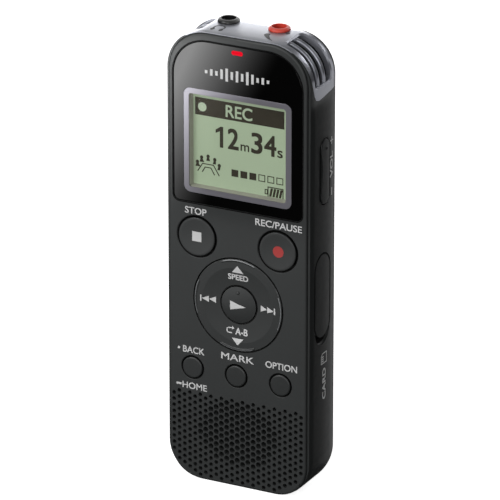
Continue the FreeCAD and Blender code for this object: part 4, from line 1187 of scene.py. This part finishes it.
@dataclass
class EdgeLegends:
    """Signs on the top deck and along the right side."""

    surfaces: Surfaces

    def top(self) -> Marks:
        """Draw the headphone and microphone signs and the small dot by the red collar.

        Returns:
            The top deck's marks.
        """
        ink = Marks("top_signs", Side.TOP, "top_trim", "case", Finishes.PRINT_DARK, self.surfaces,
                    reach=130.0, finest=0.3)
        arc = [math.radians(a) for a in range(-20, 201, 11)]
        ink.line([(-7.25 + 1.3 * math.cos(a), -4.75 + 1.45 * math.sin(a)) for a in arc], 0.4)
        for x in (-8.35, -6.15):
            ink.dot((x, -6.1), 0.46, 1.9, 14)
        ink.dot((5.0, -4.15), 0.72, 1.25, 18)
        ink.area(((4.7, -5.15), (5.75, -4.6), (7.1, -6.7), (6.6, -6.95)))
        ink.line(((6.75, -6.7), (7.8, -7.3)), 0.34)
        ink.dot((8.95, -1.2), 0.5, 1.2, 16)
        return ink

    def volume(self) -> Marks:
        """Draw the volume word with its plus and minus, and the card word.

        Returns:
            The side's marks on the case body.
        """
        ink = Marks("side_legends", Side.RIGHT, "case_body", "case", Finishes.PRINT, self.surfaces,
                    finest=0.35)
        ink.word("VOL", (0.55, 2.1), (79.3, 85.7), 0.06, turned=True)
        ink.box((1.25, 1.55), (87.6, 89.5))
        for y_range in ((0.55, 1.25), (1.55, 2.25)):
            ink.box(y_range, (88.4, 88.7))
        ink.box((1.35, 1.7), (74.8, 76.7))
        ink.word("CARD", (-2.85, -1.15), (24.0, 32.0), 0.06, turned=True)
        return ink

    def card(self) -> Marks:
        """Draw the card sign under the slot cover.

        Returns:
            The card sign's marks.
        """
        ink = Marks("card_sign", Side.RIGHT, "case_body", "case", Finishes.PRINT, self.surfaces, finest=0.5)
        outer = ((-3.6, 33.2), (-0.6, 33.2), (-0.6, 36.0), (-2.9, 36.0), (-3.6, 35.3))
        inner = ((-3.35, 33.45), (-0.85, 33.45), (-0.85, 35.75), (-2.8, 35.75), (-3.35, 35.2))
        ink.band(outer, inner)
        for k in range(3):
            ink.box((-3.1, -2.3), (33.75 + k * 0.55, 34.05 + k * 0.55))
        return ink

    def build(self, shelf: EffectShelf) -> None:
        """Build the three pieces."""
        for ink in (self.top(), self.volume(), self.card()):
            ink.build(shelf)


# ------------------------------------------------------------------ studio
@dataclass
class Softbox:
    """One soft lamp, aimed at the recorder's middle."""

    name: str
    place: tuple[float, float, float]
    size: Point
    power: float
    tint: Colour = (1.0, 1.0, 1.0)

    def build(self, aim: Vector) -> None:
        """Hang the lamp.

        Args:
            aim: Point that the lamp faces.
        """
        data = bpy.data.lights.new(self.name, "AREA")
        data.shape = "RECTANGLE"
        data.size, data.size_y = self.size
        data.energy = self.power
        data.color = self.tint
        lamp = bpy.data.objects.new(self.name, data)
        bpy.context.scene.collection.objects.link(lamp)
        lamp.location = self.place
        lamp.rotation_mode = "QUATERNION"
        lamp.rotation_quaternion = (Vector(self.place) - aim).to_track_quat("Z", "Y")


@dataclass
class MirrorCard:
    """Graded card that one side of the recorder mirrors, lying level with that side.

    Only mirror rays see it. Across and up on the card are the side's own drawing directions, so
    the card's grade lands on the side at the same places.
    """

    name: str
    side: Side
    middle: Point
    size: Point
    height: float
    ends: tuple[Point, Point]
    glow: tuple[float, float]
    power: float = 1.0

    def build(self, back: Vector, face: float) -> None:
        """Hang the card where the camera sees it mirrored in the side.

        Args:
            back: Direction from the recorder to the camera.
            face: Distance of the side's face from the origin, along the side's outward direction.
        """
        across, rise, out = self.side.axes
        mirrored = out * 2 * out.dot(back) - back
        plan = bmesh.new()
        bmesh.ops.create_grid(plan, x_segments=2, y_segments=2, size=0.5)
        bmesh.ops.scale(plan, verts=plan.verts, vec=(self.size[0] * MM, self.size[1] * MM, 1.0))
        card = make_piece(self.name, plan, self.material())
        shift = mirrored * (self.height * MM / mirrored.dot(out))
        spot = (across * self.middle[0] + rise * self.middle[1]) * MM + out * face
        card.matrix_world = (Matrix.Translation(spot + shift)
                             @ Matrix((across, rise, out)).transposed().to_4x4())
        for switch in ("visible_camera", "visible_diffuse", "visible_shadow", "visible_transmission"):
            setattr(card, switch, False)

    def material(self) -> bpy.types.Material:
        """Make the card's graded glow, which runs from the first end to the second.

        Returns:
            A node material.
        """
        made = bpy.data.materials.new(self.name + "_grade")
        made.use_nodes = True
        maker = GroupMaker(made.node_tree)
        shader = made.node_tree.nodes["Principled BSDF"]
        place = maker.add("ShaderNodeSeparateXYZ")
        maker.wire(maker.position(), place.inputs[0])
        start, stop = (Vector(end) * MM for end in self.ends)
        run = stop - start
        forward = run / run.length_squared
        along = maker.math("ADD", maker.math("MULTIPLY", place.outputs["X"], forward.x),
                           maker.math("MULTIPLY", place.outputs["Y"], forward.y))
        offset = start.dot(forward)
        share = maker.spread(along, offset, offset + 1.0, 0.0, 1.0)
        level = maker.spread(maker.math("POWER", share, self.power), 0.0, 1.0, *self.glow)
        strongest = max(self.glow)
        grade = maker.spread(level, 0.0, strongest, 0.0, 1.0)
        tint = maker.blend(grade, (0.0, 0.0, 0.0), (1.0, 1.0, 1.0))
        maker.wire(tint, shader.inputs["Emission Color"])
        shader.inputs["Emission Strength"].default_value = strongest
        shader.inputs["Base Color"].default_value = (0.0, 0.0, 0.0, 1.0)
        shader.inputs["Specular IOR Level"].default_value = 0.0
        return made


@dataclass
class Studio:
    """Pale floor and surround, soft lamps, mirror cards and the camera."""

    azimuth: float = 27.27
    elevation: float = 21.51
    distance: float = 1.2186
    lens: float = 369.1
    aim_side: float = -1.4934
    aim_up: float = 0.8263
    middle: tuple[float, float, float] = (0.05, -0.042, 57.04898)
    sensor: float = 36.0
    clip: Point = (0.05, 20.0)
    case_height: float = 114.1
    floor_half: float = 6.0
    floor_light: float = 0.95
    floor_paper: tuple[float, float] = (0.86, 0.9)
    floor_unseen: float = 0.12
    surround_unseen: float = 0.08
    boxes: list[Softbox] = field(default_factory=lambda: [
        Softbox("key_softbox", (-0.45, -0.8, 0.6), (0.5, 0.5), 5.6),
        Softbox("front_softbox", (0.35, -1.2, 0.5), (0.6, 0.5), 4.4),
        Softbox("fill_softbox", (0.9, -0.7, 0.3), (0.5, 0.7), 1.3),
        Softbox("top_softbox", (-0.35, 0.75, 0.5), (0.6, 0.5), 0.4),
        Softbox("overhead_softbox", (-0.5, -0.4, 1.0), (0.4, 0.4), 1.8),
        Softbox("corner_softbox", (0.36, 0.82, 0.5), (0.3, 0.3), 1.6),
        Softbox("side_softbox", (0.75, 0.5, 0.25), (0.2, 0.7), 0.2),
        Softbox("back_softbox", (-0.75, 1.1, 0.16), (0.6, 0.25), 4.5),
    ])
    cards: list[MirrorCard] = field(default_factory=lambda: [
        MirrorCard("window_card", Side.FRONT, (0.0, 91.6), (40.0, 44.0), 6.0, ((1.9, -0.9), (-16.8, 8.1)),
                   (0.0, 6.2), 2.0),
        MirrorCard("panel_card", Side.FRONT, (0.0, 45.0), (170.0, 190.0), 60.0, ((35.0, -60.0), (-50.0, 60.0)),
                   (0.0, 1.3), 1.5),
        MirrorCard("side_card", Side.RIGHT, (0.0, 55.0), (30.0, 112.0), 2.5, ((-2.2, 0.0), (3.6, 0.0)),
                   (0.0, 0.95)),
        MirrorCard("corner_card", Side.RIGHT, (-2.0, 103.6), (18.0, 7.0), 1.8, ((-9.0, 0.0), (9.0, 0.0)),
                   (0.5, 0.85)),
        MirrorCard("top_card", Side.TOP, (-3.0, 2.0), (32.0, 18.0), 1.8, ((0.5, -8.5), (-0.5, 4.0)),
                   (0.75, 3.3)),
    ])

    def view_axes(self) -> tuple[Vector, Vector, Vector]:
        """Work out the camera's right, up and backward directions.

        Returns:
            Unit vectors right, up and back.
        """
        turn, lift = math.radians(self.azimuth), math.radians(self.elevation)
        back = Vector((math.sin(turn) * math.cos(lift), -math.cos(turn) * math.cos(lift), math.sin(lift)))
        right = Vector((math.cos(turn), math.sin(turn), 0.0))
        return right, back.cross(right), back

    def camera(self) -> None:
        """Make the camera and set it as the scene's own."""
        right, rise, back = self.view_axes()
        aim = Vector(self.middle) * MM + right * self.aim_side * MM + rise * self.aim_up * MM
        data = bpy.data.cameras.new("studio_camera")
        data.lens = self.lens
        data.sensor_width = self.sensor
        data.clip_start, data.clip_end = self.clip
        eye = bpy.data.objects.new("studio_camera", data)
        bpy.context.scene.collection.objects.link(eye)
        eye.location = aim + back * self.distance
        eye.rotation_mode = "QUATERNION"
        eye.rotation_quaternion = Matrix((right, rise, back)).transposed().to_quaternion()
        bpy.context.scene.camera = eye

    def floor(self) -> None:
        """Lay a wide floor that is pale to the camera and dark to every other ray."""
        plan = bmesh.new()
        bmesh.ops.create_grid(plan, x_segments=8, y_segments=8, size=self.floor_half)
        made = bpy.data.materials.new("floor_paper")
        made.use_nodes = True
        maker = GroupMaker(made.node_tree)
        shader = made.node_tree.nodes["Principled BSDF"]
        tone = maker.spread(maker.noise(40.0, 3.0, maker.position()), 0.3, 0.7, 0.0, 1.0)
        paper = maker.blend(tone, *((level,) * 3 for level in self.floor_paper))
        seen = maker.add("ShaderNodeLightPath").outputs["Is Camera Ray"]
        maker.wire(maker.blend(seen, (self.floor_unseen,) * 3, paper), shader.inputs["Base Color"])
        maker.wire(maker.blend(seen, (0.0, 0.0, 0.0), paper), shader.inputs["Emission Color"])
        shader.inputs["Emission Strength"].default_value = self.floor_light
        shader.inputs["Roughness"].default_value = 0.9
        shader.inputs["Specular IOR Level"].default_value = 0.0
        sheet = make_piece("floor", plan, made)

    def surround(self) -> None:
        """Make a surround that is white to the camera and dim to every other ray."""
        world = bpy.data.worlds.new("pale_surround")
        world.use_nodes = True
        bpy.context.scene.world = world
        maker = GroupMaker(world.node_tree)
        ground = world.node_tree.nodes["Background"]
        path = maker.add("ShaderNodeLightPath")
        level = maker.spread(path.outputs["Is Camera Ray"], 0.0, 1.0, self.surround_unseen, 1.0)
        maker.wire(level, ground.inputs["Strength"])
        ground.inputs["Color"].default_value = (1.0, 1.0, 1.0, 1.0)
        scene = bpy.context.scene
        scene.view_settings.view_transform = "Standard"
        scene.view_settings.look = "None"

    def build(self) -> None:
        """Set up the whole studio: camera, cards, floor, surround and lamps."""
        self.camera()
        _, _, back = self.view_axes()
        low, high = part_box("case_body")
        faces = {Side.FRONT: -low[1], Side.RIGHT: high[0], Side.TOP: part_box("top_trim")[1][2]}
        for card in self.cards:
            card.build(back, faces[card.side])
        self.floor()
        self.surround()
        aim = Vector((0.0, 0.0, self.case_height / 2 * MM))
        for box in self.boxes:
            box.build(aim)
        LOG.info("studio: camera, floor, surround, %d cards, %d lamps", len(self.cards), len(self.boxes))


def dress_nodes(shelf: EffectShelf) -> None:
    """Give each carried-over node its finish.

    Args:
        shelf: The shared shader groups.
    """
    for name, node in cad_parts.items():
        finish = NODE_FINISHES[name]
        made = finish.material(shelf)
        for slot in node.material_slots:
            slot.material = made
        LOG.info("node %s: %s", name, finish.name)


def main() -> None:
    """Build the looks in order."""
    logging.basicConfig(level=logging.INFO, format="%(message)s")
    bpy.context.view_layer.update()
    shelf = EffectShelf()
    surfaces = Surfaces()
    Studio().build()
    dress_nodes(shelf)
    for group in (GapShades(surfaces), FrontLegends(surfaces), KeyMarks(surfaces), DisplayPicture(surfaces),
                  EdgeLegends(surfaces)):
        group.build(shelf)
        LOG.info("group %s done", type(group).__name__)


if __name__ == "__main__":
    main()
